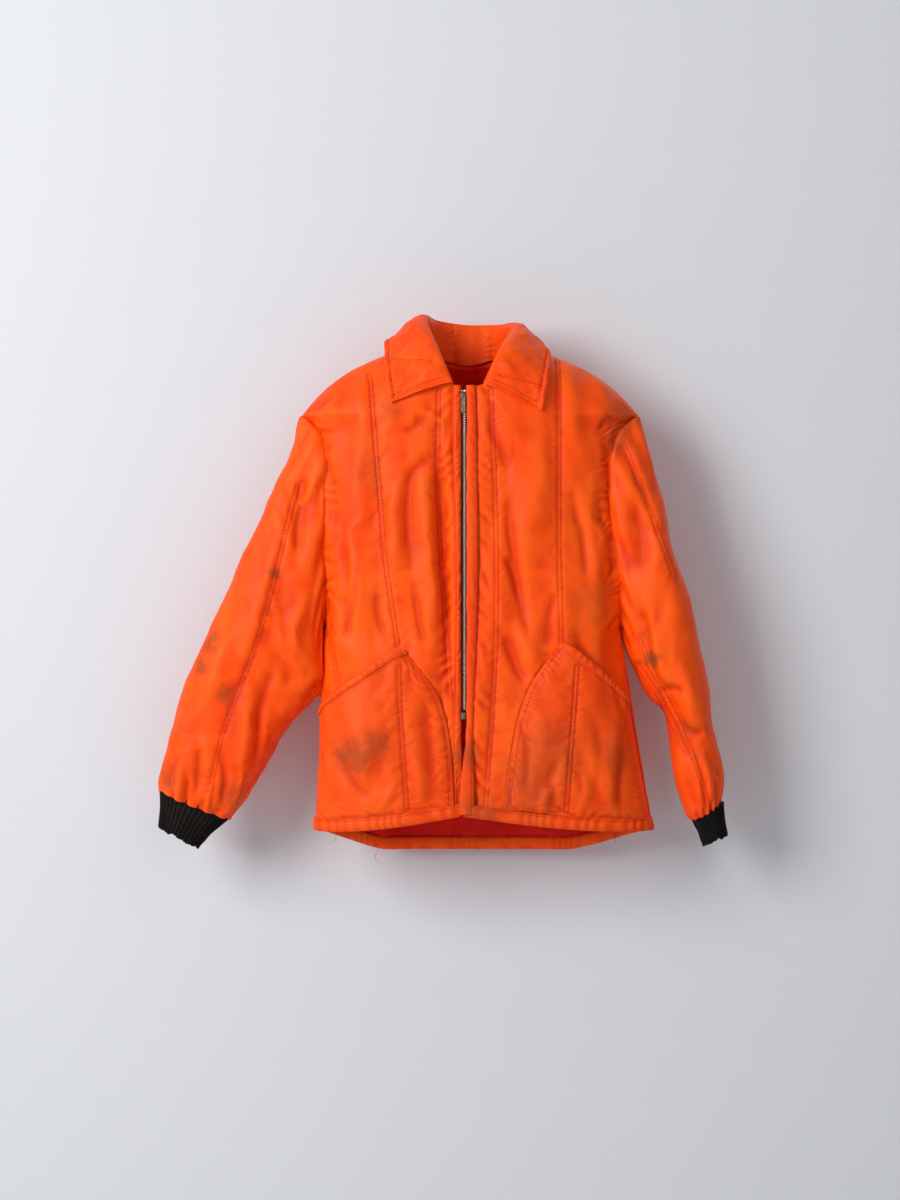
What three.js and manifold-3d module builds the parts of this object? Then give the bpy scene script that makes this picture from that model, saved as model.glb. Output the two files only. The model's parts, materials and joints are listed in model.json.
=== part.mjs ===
// A quilted, zip-fronted field jacket with knit cuffs, hanging as it does on a coat hanger.
// Millimetres. +X is the wearer's left, -Y is the front, +Z is up.
// The origin is the middle of the neck, at the height of the shoulder seams, where a hanger carries it.
import * as THREE from "three";
import { mergeVertices } from "three/addons/utils/BufferGeometryUtils.js";
import Module from "manifold-3d";

const wasm = await Module();
wasm.setup();

// ---------- driving dimensions ----------

const GAP = 0.4; // between pieces that lie on each other
const SEAM_GAP = 1.2; // between the edges of two panels that are sewn together

const SHELL = 2; // outer nylon, thickened so that it is a solid
const BATTING = 5; // polyester wadding
const LINING = 1.2;

const SHOULDER_TIP_Z = -92; // where the shoulder seam meets the armhole
const NECK_Z = 8; // where the shoulder seam meets the collar
const NECK_HALF_WIDTH = 72;
const NECK_FRONT_Z = -62; // foot of the neckline, at the top of the zip
const NECK_BACK_Z = -16;
const UNDERARM_Z = -390;
const ARMHOLE_HALF_DEPTH = 46;

const FRONT_DEPTH = 74; // how far the chest stands out in front of the side seams
const BACK_DEPTH = 62;
const FRONT_ROUND = 88; // height in which the chest curves over into the shoulder seam
const BACK_ROUND = 80;

const FRONT_HEM_Z = -643; // at the zip
const SIDE_HEM_Z = -668;
const BACK_HEM_Z = -700;
const HEM_BAND = 16;
const BAND = 1.8; // thickness of a folded edge
const BAND_CLEARANCE = 0.9; // between a curved panel and what is sewn on it

const SLEEVE_LENGTH = 556;
const CUFF_WALL = 3.6;

const ZIP_X = -7;
const ZIP_LENGTH = 450;
const TOOTH_PITCH = 6;
const TOOTH_REACH = 2.4; // from the tape's edge towards the middle of the zip
const TOOTH_DEPTH = 2.6;
const TOOTH_WIDTH = 2.2;
const CHAIN_GAP = 1.6; // between the two rows, where the slider's post runs
const CORD_WIDTH = 1; // edge of each row, clamped on its tape
const TAPE = 0.8;
const TAPE_WIDTH = 10;
const PLACKET_CLEARANCE = 0.6; // between a row of teeth and the folded front edge
const PLACKET_WIDTH = 10;
const PLACKET = 5;

const SLIDER_LENGTH = 12;
const SLIDER_PLATE = 1.2;
const SLIDER_CLEARANCE = 0.3;
const CROWN_HEIGHT = 2.6;
const PULL_WIDTH = 5;
const PULL_LENGTH = 24;
const PULL_THICKNESS = 1.1;

const POCKET_STAND_OFF = 16; // how far the mouth of a pocket stands off the front
const POCKET_THICKNESS = 4;
const POCKET_CLEARANCE = 1.4; // at the edges that are sewn down
const FACING_WIDTH = 18;

const STAND_LAYER = 2;
const LEAF_LAYER = 1.4;
const LEAF_BULGE = 9; // how far the leaf rounds out between the roll line and its outer edge
const COLLAR_LIFT = 1; // between the stand's outer face and the leaf that falls over it

const zipPlaneY = -FRONT_DEPTH + 3; // the middle of the zip tapes

// Distances from the zip's middle.
const rowStart = CHAIN_GAP / 2;
const rowEnd = rowStart + TOOTH_REACH + CORD_WIDTH;
const tapeStart = rowEnd + GAP;
const placketStart = rowEnd + PLACKET_CLEARANCE;
const placketEnd = placketStart + PLACKET_WIDTH;
const panelStart = placketEnd + GAP;
const zipTopZ = NECK_FRONT_Z;
const zipEndZ = zipTopZ - ZIP_LENGTH;

// The two sides hang differently: the wearer's right sleeve swings out, the left one hangs closer.
// Sleeve edges are shares of the sleeve's length, outwards and downwards, from the shoulder tip and from the
// underarm.
const right = {
  name: "right",
  sign: -1,
  shoulderTip: 231,
  underarm: 203,
  hem: 214,
  outerEdge: [[0, 0], [0.087, 0.205], [0.189, 0.419], [0.281, 0.622], [0.342, 0.806], [0.36, 0.934]],
  innerEdge: [[0, 0], [0.004, 0.149], [0.048, 0.21], [0.103, 0.282], [0.174, 0.415], [0.222, 0.476]],
  sleeveDepth: [ARMHOLE_HALF_DEPTH, 58, 60, 56, 50, 38],
  cuffOuter: [2, -52],
  cuffInner: [44, -38],
  cuffDepth: 26,
  pocketPeakZ: -418,
  pocketInnerEdge: [88, 61, 41, 31, 27, 26],
  pocketMouthEnd: -497,
  pocketSide: 0.975,
};
const left = {
  name: "left",
  sign: 1,
  shoulderTip: 238,
  underarm: 217,
  hem: 259,
  outerEdge: [[0, 0], [0.071, 0.246], [0.138, 0.47], [0.178, 0.685], [0.209, 0.859], [0.209, 0.971]],
  innerEdge: [[0, 0], [0.016, 0.07], [0.066, 0.18], [0.108, 0.25], [0.133, 0.4], [0.166, 0.482]],
  sleeveDepth: [ARMHOLE_HALF_DEPTH, 60, 62, 58, 52, 40],
  cuffOuter: [9, -44],
  cuffInner: [16, -35],
  cuffDepth: 30,
  pocketPeakZ: -408,
  pocketInnerEdge: [129, 99, 76, 59, 49, 44],
  pocketMouthEnd: -482,
  pocketSide: 0.93,
};
const sides = [right, left];

// ---------- materials ----------

const cloth = (color, roughness) => new THREE.MeshStandardMaterial({ color, roughness, metalness: 0 });
const shellCloth = cloth(0xf4511e, 0.55);
const liningCloth = cloth(0xc8200c, 0.6);
const battingFibre = cloth(0xe8e4da, 0.95);
const interlining = cloth(0xd9d4c8, 0.9);
const cuffKnit = cloth(0x23231d, 0.95);
const tapeCloth = cloth(0x2a2320, 0.85);
const zipMetal = new THREE.MeshStandardMaterial({ color: 0xb9b6ae, roughness: 0.35, metalness: 1 });
const sliderMetal = new THREE.MeshStandardMaterial({ color: 0x6d675c, roughness: 0.4, metalness: 1 });

// ---------- small tools ----------

const jacket = new THREE.Group();
const at = (x, y, z) => new THREE.Vector3(x, y, z);
const mix = (a, b, share) => a + (b - a) * share;
const clamp = (value, low = 0, high = 1) => Math.min(high, Math.max(low, value));

function piece(name, geometry, material) {
  const mesh = new THREE.Mesh(geometry, material);
  mesh.name = name;
  jacket.add(mesh);
  return mesh;
}

// A curve through points, as a function from 0 to 1 that passes point number k at k / (count - 1).
function through(points) {
  const curve = new THREE.CatmullRomCurve3(points, false, "catmullrom", 0.5);
  return (share) => curve.getPoint(clamp(share));
}

// The signed volume of a closed triangle list, to see whether it faces out.
function volume(positions, faces) {
  const [a, b, c] = [at(), at(), at()];
  let sum = 0;
  for (let i = 0; i < faces.length; i += 3) {
    a.fromArray(positions, faces[i] * 3);
    b.fromArray(positions, faces[i + 1] * 3);
    c.fromArray(positions, faces[i + 2] * 3);
    sum += a.dot(b.cross(c));
  }
  return sum / 6;
}

// A closed slab between two offsets of a surface. surface(u, v, offset) gives a point for u and v from 0
// to 1, offset millimetres outside the surface. With around set, u closes on itself, as on a sleeve.
function slab(surface, columns, rows, outer, inner, around = false) {
  const across = around ? columns : columns + 1;
  const layer = across * (rows + 1);
  const positions = [];
  for (const offset of [outer, inner])
    for (let j = 0; j <= rows; j++)
      for (let i = 0; i < across; i++) positions.push(...surface(i / columns, j / rows, offset).toArray());
  const index = (i, j) => j * across + (around ? i % columns : i);
  const faces = [];
  const quad = (a, b, c, d) => faces.push(a, b, c, a, c, d);
  for (let j = 0; j < rows; j++)
    for (let i = 0; i < columns; i++) {
      const [a, b, c, d] = [index(i, j), index(i + 1, j), index(i + 1, j + 1), index(i, j + 1)];
      quad(a, b, c, d);
      quad(a + layer, d + layer, c + layer, b + layer);
    }
  for (let i = 0; i < columns; i++) {
    const [a, b, c, d] = [index(i, 0), index(i + 1, 0), index(i, rows), index(i + 1, rows)];
    quad(a, a + layer, b + layer, b);
    quad(c, d, d + layer, c + layer);
  }
  if (!around)
    for (let j = 0; j < rows; j++) {
      const [a, b, c, d] = [index(0, j), index(0, j + 1), index(columns, j), index(columns, j + 1)];
      quad(a, b, b + layer, a + layer);
      quad(c, c + layer, d + layer, d);
    }
  if (volume(positions, faces) < 0)
    for (let i = 0; i < faces.length; i += 3) [faces[i + 1], faces[i + 2]] = [faces[i + 2], faces[i + 1]];
  return new THREE.BufferGeometry()
    .setAttribute("position", new THREE.Float32BufferAttribute(positions, 3))
    .setIndex(faces);
}

// Moves a point of a surface along its outward normal, which is found by small steps on the surface.
const STEP = 1e-3;
function alongNormal(surface, u, v, offset, outward) {
  const [u0, u1] = [Math.max(u - STEP, 0), Math.min(u + STEP, 1)];
  const [v0, v1] = [Math.max(v - STEP, 0), Math.min(v + STEP, 1)];
  const normal = surface(u1, v).sub(surface(u0, v)).cross(surface(u, v1).sub(surface(u, v0))).normalize();
  if (normal.dot(outward) < 0) normal.negate();
  return surface(u, v).addScaledVector(normal, offset);
}

// The shell, wadding and lining of a panel, from the outside in.
const lay = [
  { name: "shell", thickness: SHELL, material: shellCloth },
  { name: "batting", thickness: BATTING, material: battingFibre },
  { name: "lining", thickness: LINING, material: liningCloth },
];
function layered(name, surface, columns, rows, around = false) {
  let depth = 0;
  for (const { name: layer, thickness, material } of lay) {
    piece(`${name}_${layer}`, slab(surface, columns, rows, -depth, -depth - thickness, around), material);
    depth += thickness + GAP;
  }
}

function solid(geometry) {
  const bare = geometry.clone();
  bare.deleteAttribute("normal");
  bare.deleteAttribute("uv");
  const merged = mergeVertices(bare, 1e-4);
  return new wasm.Manifold(
    new wasm.Mesh({
      numProp: 3,
      vertProperties: merged.attributes.position.array,
      triVerts: new Uint32Array(merged.index.array),
    }),
  );
}

function geometryOf(manifold) {
  const { vertProperties, triVerts } = manifold.getMesh();
  return new THREE.BufferGeometry()
    .setAttribute("position", new THREE.BufferAttribute(new Float32Array(vertProperties), 3))
    .setIndex(new THREE.BufferAttribute(new Uint32Array(triVerts), 1));
}

// A block between two corners.
function block([x0, y0, z0], [x1, y1, z1]) {
  return new THREE.BoxGeometry(Math.abs(x1 - x0), Math.abs(y1 - y0), Math.abs(z1 - z0)).translate(
    (x0 + x1) / 2,
    (y0 + y1) / 2,
    (z0 + z1) / 2,
  );
}

// ---------- body shape ----------

const NECK_RISE = 18; // of the shoulder line, carried on into the neck

// Height of the line over the shoulders, at a distance from the jacket's middle.
function ridgeZ(side, x) {
  if (x < NECK_HALF_WIDTH) return NECK_Z + NECK_RISE * (1 - (x / NECK_HALF_WIDTH) ** 2);
  const share = (x - NECK_HALF_WIDTH) / (side.shoulderTip - NECK_HALF_WIDTH);
  return NECK_Z + (SHOULDER_TIP_Z - NECK_Z) * (0.6 * share + 0.4 * share ** 4);
}

// Half-width of the body at a height: the armhole down to the underarm, then the side seam.
function sideX(side, z) {
  if (z > UNDERARM_Z) {
    const share = clamp((z - UNDERARM_Z) / (SHOULDER_TIP_Z - UNDERARM_Z));
    return mix(side.underarm, side.shoulderTip, share);
  }
  const share = clamp((UNDERARM_Z - z) / (UNDERARM_Z - SIDE_HEM_Z));
  return mix(side.underarm, side.hem, share ** 1.6);
}

// How far the edge of a panel stands off the side seam's plane, in the armhole.
function armholeDepth(z) {
  const middle = (SHOULDER_TIP_Z + UNDERARM_Z) / 2;
  const half = (SHOULDER_TIP_Z - UNDERARM_Z) / 2;
  return ARMHOLE_HALF_DEPTH * Math.sqrt(Math.max(0, 1 - ((z - middle) / half) ** 2));
}

// Depth of the body in front of, or behind, the seam plane. across runs from 0 in the middle to 1 at the
// side.
function bodyDepth(side, across, z, ridgeX, depth, round, fullness) {
  const below = clamp((ridgeZ(side, ridgeX) - z) / round);
  const over = Math.sqrt(1 - (1 - below) ** 2);
  const belly = depth * over * Math.sqrt(Math.max(0, 1 - across ** fullness));
  return Math.hypot(belly, armholeDepth(z) * across ** 3);
}

const FRONT_FULLNESS = 2.6;
const BACK_FULLNESS = 3;

const frontStart = (side) => panelStart + side.sign * ZIP_X;
const frontX = (side, across, z) => mix(frontStart(side), sideX(side, z), across);
const frontAcross = (side, x, z) => clamp((x - frontStart(side)) / (sideX(side, z) - frontStart(side)));

function frontPoint(side, across, z) {
  const ridgeX = mix(frontStart(side), side.shoulderTip, across);
  const depth = bodyDepth(side, across, z, ridgeX, FRONT_DEPTH, FRONT_ROUND, FRONT_FULLNESS);
  return at(side.sign * frontX(side, across, z), -SEAM_GAP / 2 - depth, z);
}

function backPoint(side, across, z) {
  const ridgeX = across * side.shoulderTip;
  const depth = bodyDepth(side, across, z, ridgeX, BACK_DEPTH, BACK_ROUND, BACK_FULLNESS);
  return at(side.sign * across * sideX(side, z), SEAM_GAP / 2 + depth, z);
}

// Top edge of a panel: the neckline, then the shoulder seam.
function topZ(side, x, footZ) {
  const ridge = ridgeZ(side, x);
  if (x >= NECK_HALF_WIDTH) return ridge;
  return Math.min(ridge, NECK_Z - (NECK_Z - footZ) * (1 - (x / NECK_HALF_WIDTH) ** 2) ** 0.75);
}

// The front hem rises to the zip, and the back hem is level between its two corners.
const frontHemZ = (across) => mix(FRONT_HEM_Z, SIDE_HEM_Z, Math.sin((across * Math.PI) / 2));
const backHemZ = (across) => mix(BACK_HEM_Z, SIDE_HEM_Z, clamp((across - 0.55) / 0.45) ** 1.3);

// Rows crowd together at the top, where the panel curves over.
const crowd = (v) => v ** 1.5;
// Columns crowd together at the side.
const turn = (u) => Math.sin((u * Math.PI) / 2);

const FRONT_COLUMNS = 9;
const BODY_ROWS = 11;
const BACK_COLUMNS = 14;

function frontSurface(side, u, v) {
  const across = turn(u);
  const top = topZ(side, mix(frontStart(side), side.shoulderTip, across), NECK_FRONT_Z);
  return frontPoint(side, across, mix(top, frontHemZ(across), crowd(v)));
}

function backSurface(u, v) {
  const side = u < 0.5 ? right : left;
  const across = turn(Math.abs(u - 0.5) * 2);
  const top = topZ(side, across * side.shoulderTip, NECK_BACK_Z);
  return backPoint(side, across, mix(top, backHemZ(across), crowd(v)));
}

const frontOffset = (side) => (u, v, offset) => {
  const surface = (a, b) => frontSurface(side, a, b);
  return alongNormal(surface, u, v, offset, at(side.sign * u, -1, 0.5));
};
const backOffset = (u, v, offset) => alongNormal(backSurface, u, v, offset, at((u - 0.5) * 2, 1, 0.5));

for (const side of sides) layered(`${side.name}_front`, frontOffset(side), FRONT_COLUMNS, BODY_ROWS);
layered("back", backOffset, BACK_COLUMNS, BODY_ROWS);

// ---------- hem bands ----------

// The last stretch of a panel, as high as the hem band.
function hemStretch(point, hemZ) {
  return (across, v) => point(across, hemZ(across) + HEM_BAND * (1 - v));
}
for (const side of sides) {
  const strip = hemStretch((across, z) => frontPoint(side, across, z), frontHemZ);
  const surface = (u, v) => strip(turn(u) * 0.99, v);
  const offset = (u, v, distance) => alongNormal(surface, u, v, distance, at(side.sign * u, -1, 0));
  const band = slab(offset, FRONT_COLUMNS, 1, BAND_CLEARANCE + BAND, BAND_CLEARANCE);
  piece(`${side.name}_front_hem_band`, band, shellCloth);
}
{
  const surface = (u, v) => {
    const side = u < 0.5 ? right : left;
    const across = turn(Math.abs(u - 0.5) * 2) * 0.99;
    return hemStretch((a, z) => backPoint(side, a, z), backHemZ)(across, v);
  };
  const offset = (u, v, distance) => alongNormal(surface, u, v, distance, at((u - 0.5) * 2, 1, 0));
  piece("back_hem_band", slab(offset, BACK_COLUMNS, 1, BAND_CLEARANCE + BAND, BAND_CLEARANCE), shellCloth);
}

// ---------- pockets ----------

const POCKET_COLUMNS = 8;
const POCKET_ROWS = 8;

// A patch pocket lies on the front, sewn down at its inner edge, bottom and side. Its mouth is the slanted
// edge from the peak to the side seam, where it stands off the front so that a hand goes in.
function pocketPoint(side, u, v, lift) {
  const mouthZ = mix(side.pocketPeakZ, side.pocketMouthEnd, u);
  const innerX = through(side.pocketInnerEdge.map((x) => at(x, 0, 0)))(v).x;
  const innerZ = mix(side.pocketPeakZ, FRONT_HEM_Z + HEM_BAND, v);
  const innerTurn = Math.asin(frontAcross(side, innerX, innerZ));
  const across = Math.sin(mix(innerTurn, Math.asin(side.pocketSide), u));
  const z = mix(mouthZ, frontHemZ(across) + HEM_BAND + 1, v);
  const surface = (a, b) => frontPoint(side, a, b * BACK_HEM_Z);
  return alongNormal(surface, across, z / BACK_HEM_Z, lift, at(side.sign * across, -1, 0));
}
function pocketLift(u, v) {
  const acrossPocket = Math.sin(Math.PI * clamp(u)) ** 0.7;
  return POCKET_CLEARANCE + POCKET_STAND_OFF * acrossPocket * (1 - v ** 2);
}
for (const side of sides) {
  const pocket = (u, v, offset) => pocketPoint(side, u, v, pocketLift(u, v) + offset);
  piece(`${side.name}_pocket`, slab(pocket, POCKET_COLUMNS, POCKET_ROWS, POCKET_THICKNESS, 0), shellCloth);
  const mouthShare = FACING_WIDTH / (side.pocketMouthEnd - SIDE_HEM_Z);
  const facing = (u, v, offset) => pocket(0.02 + 0.96 * u, v * mouthShare, offset);
  const under = POCKET_THICKNESS + BAND_CLEARANCE;
  piece(`${side.name}_pocket_facing`, slab(facing, POCKET_COLUMNS, 1, under + BAND, under), shellCloth);
}

// ---------- sleeves and cuffs ----------

const SLEEVE_COLUMNS = 12;
const SLEEVE_ROWS = 9;

// A sleeve is a row of ellipses, each drawn between a point of its outer edge and a point of its inner edge.
function sleeveRing(side, v) {
  const start = { outer: [side.shoulderTip, SHOULDER_TIP_Z], inner: [side.underarm, UNDERARM_Z] };
  const edge = ([x, z], shares) =>
    through(shares.map(([out, down]) => at(x + out * SLEEVE_LENGTH, 0, z - down * SLEEVE_LENGTH)))(v);
  const outer = edge(start.outer, side.outerEdge);
  const inner = edge(start.inner, side.innerEdge);
  const depth = through(side.sleeveDepth.map((d) => at(d, 0, 0)))(v).x;
  outer.x += SEAM_GAP + (v < 0.01 ? 0 : GAP);
  inner.x += SEAM_GAP + (v < 0.01 ? 0 : 2);
  return { outer, inner, depth };
}

// A point of a ring, offset outwards in the ring's own plane.
function ringPoint(side, { outer, inner, depth }, u, offset) {
  const angle = u * 2 * Math.PI;
  const half = outer.clone().sub(inner).multiplyScalar(0.5);
  const normal = half.clone().multiplyScalar(Math.cos(angle) / half.lengthSq());
  normal.add(at(0, Math.sin(angle) / depth, 0)).normalize();
  const point = outer.clone().add(inner).multiplyScalar(0.5);
  point.addScaledVector(half, Math.cos(angle));
  point.y += depth * Math.sin(angle);
  point.addScaledVector(normal, offset);
  point.x *= side.sign;
  return point;
}

// The knit cuff carries on from the sleeve's last ring and narrows to the wrist.
function cuffRing(side, v) {
  const top = sleeveRing(side, 1);
  const outer = top.outer.clone().add(at(side.cuffOuter[0], 0, side.cuffOuter[1]).multiplyScalar(v));
  const inner = top.inner.clone().add(at(side.cuffInner[0], 0, side.cuffInner[1]).multiplyScalar(v));
  outer.z -= SEAM_GAP;
  inner.z -= SEAM_GAP;
  return { outer, inner, depth: mix(top.depth, side.cuffDepth, v ** 0.8) };
}

for (const side of sides) {
  const sleeve = (u, v, offset) => ringPoint(side, sleeveRing(side, v), u, offset);
  layered(`${side.name}_sleeve`, sleeve, SLEEVE_COLUMNS, SLEEVE_ROWS, true);
  const cuff = (u, v, offset) => ringPoint(side, cuffRing(side, v), u, offset);
  piece(`${side.name}_cuff`, slab(cuff, 20, 3, -1, -1 - CUFF_WALL, true), cuffKnit);
}

// ---------- zip ----------

// Pieces beside the zip are drawn at a distance from its middle, on the side of that sign.
const zipX = (side, distance) => ZIP_X + side.sign * distance;

// One row of teeth with the cord they are clamped on, as a comb cut out of a strip.
function toothRow(side, length) {
  const cordX = rowStart + TOOTH_REACH;
  const outline = [[rowEnd, 0], [cordX, 0]];
  const stagger = side.sign > 0 ? TOOTH_PITCH / 2 : 0;
  for (let z = -stagger - 1; z - TOOTH_WIDTH > -length; z -= TOOTH_PITCH)
    outline.push([cordX, z], [rowStart, z], [rowStart, z - TOOTH_WIDTH], [cordX, z - TOOTH_WIDTH]);
  outline.push([cordX, -length], [rowEnd, -length]);
  const comb = new THREE.Shape(outline.map(([x, z]) => new THREE.Vector2(side.sign * x, z)));
  const geometry = new THREE.ExtrudeGeometry(comb, { depth: TOOTH_DEPTH, bevelEnabled: false });
  geometry.translate(0, 0, -TOOTH_DEPTH / 2);
  geometry.rotateX(Math.PI / 2);
  return geometry.translate(ZIP_X, zipPlaneY, 0);
}

const BOX_HEIGHT = 10;
const STOP_HEIGHT = 3;
const PLACKET_RISE = 4; // above the top of the zip
const chainTop = zipTopZ - STOP_HEIGHT - GAP;
const chainEnd = zipEndZ + BOX_HEIGHT + GAP;

for (const side of sides) {
  piece(`${side.name}_zip_teeth`, toothRow(side, chainTop - chainEnd).translate(0, 0, chainTop), zipMetal);
  const tape = block(
    [zipX(side, tapeStart), zipPlaneY - TAPE / 2, zipTopZ],
    [zipX(side, tapeStart + TAPE_WIDTH), zipPlaneY + TAPE / 2, zipEndZ - 6],
  );
  piece(`${side.name}_zip_tape`, tape, tapeCloth);
  const stop = block(
    [zipX(side, rowStart), zipPlaneY - TOOTH_DEPTH / 2, zipTopZ],
    [zipX(side, rowEnd), zipPlaneY + TOOTH_DEPTH / 2, zipTopZ - STOP_HEIGHT],
  );
  piece(`${side.name}_zip_top_stop`, stop, zipMetal);

  // The folded front edge stands in front of the tape, and the fly facing lies behind it.
  const edgeFront = zipPlaneY - TAPE / 2 - GAP;
  const placket = block(
    [zipX(side, placketStart), edgeFront - PLACKET, zipTopZ + PLACKET_RISE],
    [zipX(side, placketEnd), edgeFront, FRONT_HEM_Z],
  );
  piece(`${side.name}_front_placket`, placket, shellCloth);
  const facing = block(
    [zipX(side, placketStart), zipPlaneY + TAPE / 2 + GAP, zipTopZ + PLACKET_RISE],
    [zipX(side, placketEnd), zipPlaneY + TAPE / 2 + GAP + BAND, FRONT_HEM_Z],
  );
  piece(`${side.name}_fly_facing`, facing, liningCloth);
}

// The insertion pin ends the wearer's left row and drops into the retainer box on the right tape.
const pinHalf = 0.9;
const pinMiddle = rowStart + 1.4;
const boxBottom = zipEndZ;
const retainer = solid(
  block(
    [ZIP_X - rowEnd, zipPlaneY - 2, boxBottom + BOX_HEIGHT],
    [ZIP_X + rowEnd, zipPlaneY + 2, boxBottom],
  ),
)
  .subtract(
    solid(
      block(
        [zipX(left, pinMiddle - pinHalf - GAP), zipPlaneY - pinHalf - GAP, boxBottom + BOX_HEIGHT + 1],
        [zipX(left, pinMiddle + pinHalf + GAP), zipPlaneY + pinHalf + GAP, boxBottom + 2],
      ),
    ),
  )
  .subtract(
    solid(
      block(
        [zipX(right, tapeStart - GAP), zipPlaneY - TAPE / 2 - GAP, boxBottom + BOX_HEIGHT + 1],
        [zipX(right, rowEnd + 1), zipPlaneY + TAPE / 2 + GAP, boxBottom - 1],
      ),
    ),
  )
  .subtract(
    solid(
      block(
        [zipX(left, tapeStart - GAP), zipPlaneY - TAPE / 2 - GAP, boxBottom + BOX_HEIGHT + 1],
        [zipX(left, rowEnd + 1), zipPlaneY + TAPE / 2 + GAP, boxBottom - 1],
      ),
    ),
  );
piece("zip_retainer_box", geometryOf(retainer), sliderMetal);
piece(
  "zip_insertion_pin",
  block(
    [zipX(left, pinMiddle - pinHalf), zipPlaneY - pinHalf, boxBottom + BOX_HEIGHT - 1],
    [zipX(left, pinMiddle + pinHalf), zipPlaneY + pinHalf, boxBottom + 2 + GAP],
  ),
  sliderMetal,
);

// The slider: two plates joined by a post between the rows, with flanges round the teeth, and a crown that
// holds the pull tab.
const sliderTop = zipTopZ - STOP_HEIGHT - 1;
const sliderEnd = sliderTop - SLIDER_LENGTH;
const plateInner = TOOTH_DEPTH / 2 + SLIDER_CLEARANCE;
const plateOuter = plateInner + SLIDER_PLATE;
const frontPlateY = zipPlaneY - plateOuter;
const postHalf = rowStart - SLIDER_CLEARANCE;
const crownHalf = 0.8;
const crownTop = sliderTop - 2;
const crownEnd = crownTop - 7;
const crownBar = 0.9;

const sliderParts = [
  block(
    [ZIP_X - rowEnd, zipPlaneY - plateOuter, sliderTop],
    [ZIP_X + rowEnd, zipPlaneY - plateInner, sliderEnd],
  ),
  block(
    [ZIP_X - rowEnd, zipPlaneY + plateInner, sliderTop],
    [ZIP_X + rowEnd, zipPlaneY + plateOuter, sliderEnd],
  ),
  block(
    [ZIP_X - postHalf, zipPlaneY - plateInner - 0.1, sliderTop],
    [ZIP_X + postHalf, zipPlaneY + plateInner + 0.1, sliderTop - 3],
  ),
  block(
    [ZIP_X - crownHalf, frontPlateY - CROWN_HEIGHT, crownTop],
    [ZIP_X + crownHalf, frontPlateY + 0.1, crownEnd],
  ),
].map(solid);
const crownHole = solid(
  block(
    [ZIP_X - 2, frontPlateY - CROWN_HEIGHT + crownBar, crownTop - crownBar],
    [ZIP_X + 2, frontPlateY, crownEnd + crownBar],
  ),
);
const slider = sliderParts[0].add(sliderParts[1]).add(sliderParts[2]).add(sliderParts[3]).subtract(crownHole);
piece("zip_slider", geometryOf(slider), sliderMetal);

// The pull tab hangs from a bar that lies in the crown's hole.
const barRadius = 0.5;
const barY = frontPlateY - (CROWN_HEIGHT - crownBar) / 2;
const barZ = crownTop - crownBar - barRadius - SLIDER_CLEARANCE;
const pullBack = barY + PULL_THICKNESS / 2;
const pull = solid(
  block(
    [ZIP_X - PULL_WIDTH / 2, pullBack - PULL_THICKNESS, barZ + barRadius],
    [ZIP_X + PULL_WIDTH / 2, pullBack, barZ - PULL_LENGTH],
  ),
)
  .subtract(
    solid(
      block(
        [ZIP_X - crownHalf - 0.5, pullBack - 3, barZ + 3],
        [ZIP_X + crownHalf + 0.5, pullBack + 3, crownEnd - 0.8],
      ),
    ),
  )
  .add(
    solid(
      new THREE.CylinderGeometry(barRadius, barRadius, PULL_WIDTH - 0.4, 12)
        .rotateZ(Math.PI / 2)
        .translate(ZIP_X, barY, barZ),
    ),
  );
piece("zip_pull_tab", geometryOf(pull), sliderMetal);

// ---------- collar ----------

// The collar runs round the neck. turnShare goes from -1 at the wearer's right front, through 0 at the
// back, to 1 at the wearer's left front. The stand rises from the neck seam to the roll line, and the leaf
// falls from the roll line to the outer edge.
const neckFootX = panelStart + 9;
const neckSeam = [
  at(0, BACK_DEPTH - 10, NECK_BACK_Z + 6),
  at(NECK_HALF_WIDTH * 0.61, BACK_DEPTH - 16, NECK_BACK_Z + 16),
  at(NECK_HALF_WIDTH, 4, NECK_Z + 12),
  at(NECK_HALF_WIDTH * 0.75, -FRONT_DEPTH * 0.7, mix(NECK_Z, NECK_FRONT_Z, 0.31)),
  at(neckFootX, -FRONT_DEPTH - 1, NECK_FRONT_Z + 11),
];
const rollLine = [
  at(0, BACK_DEPTH - 2, NECK_Z + 30),
  at(NECK_HALF_WIDTH * 0.55, BACK_DEPTH - 10, NECK_Z + 34),
  at(NECK_HALF_WIDTH - 9, 4, NECK_Z + 36),
  at(NECK_HALF_WIDTH * 0.67, -FRONT_DEPTH * 0.84, mix(NECK_Z, NECK_FRONT_Z, 0.06)),
  at(neckFootX - 1, -FRONT_DEPTH - 9, NECK_FRONT_Z + 14),
];
const outerEdge = [
  at(0, BACK_DEPTH + 15, NECK_Z - 32),
  at(NECK_HALF_WIDTH - 8, BACK_DEPTH + 2, NECK_Z - 24),
  at(NECK_HALF_WIDTH + 42, 0, NECK_Z),
  at(NECK_HALF_WIDTH + 42, -FRONT_DEPTH * 0.92, mix(NECK_Z, NECK_FRONT_Z, 0.63)),
  at(NECK_HALF_WIDTH + 34, -FRONT_DEPTH - 4, NECK_FRONT_Z - 22),
];
const [seamCurve, rollCurve, edgeCurve] = [neckSeam, rollLine, outerEdge].map(through);

// A sheet of the collar between two curves round the neck, bulged in its middle.
function collarSheet(inner, outer, from, to, bulge) {
  const surface = (u, v) => {
    const turnShare = mix(from, to, u);
    const point = inner(Math.abs(turnShare)).lerp(outer(Math.abs(turnShare)), v);
    point.x *= Math.sign(turnShare);
    const out = point.clone().setZ(0).normalize();
    return point.addScaledVector(out, bulge * Math.sin(Math.PI * v));
  };
  return (u, v, offset) => alongNormal(surface, u, v, offset, surface(u, v).setZ(40));
}

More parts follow.
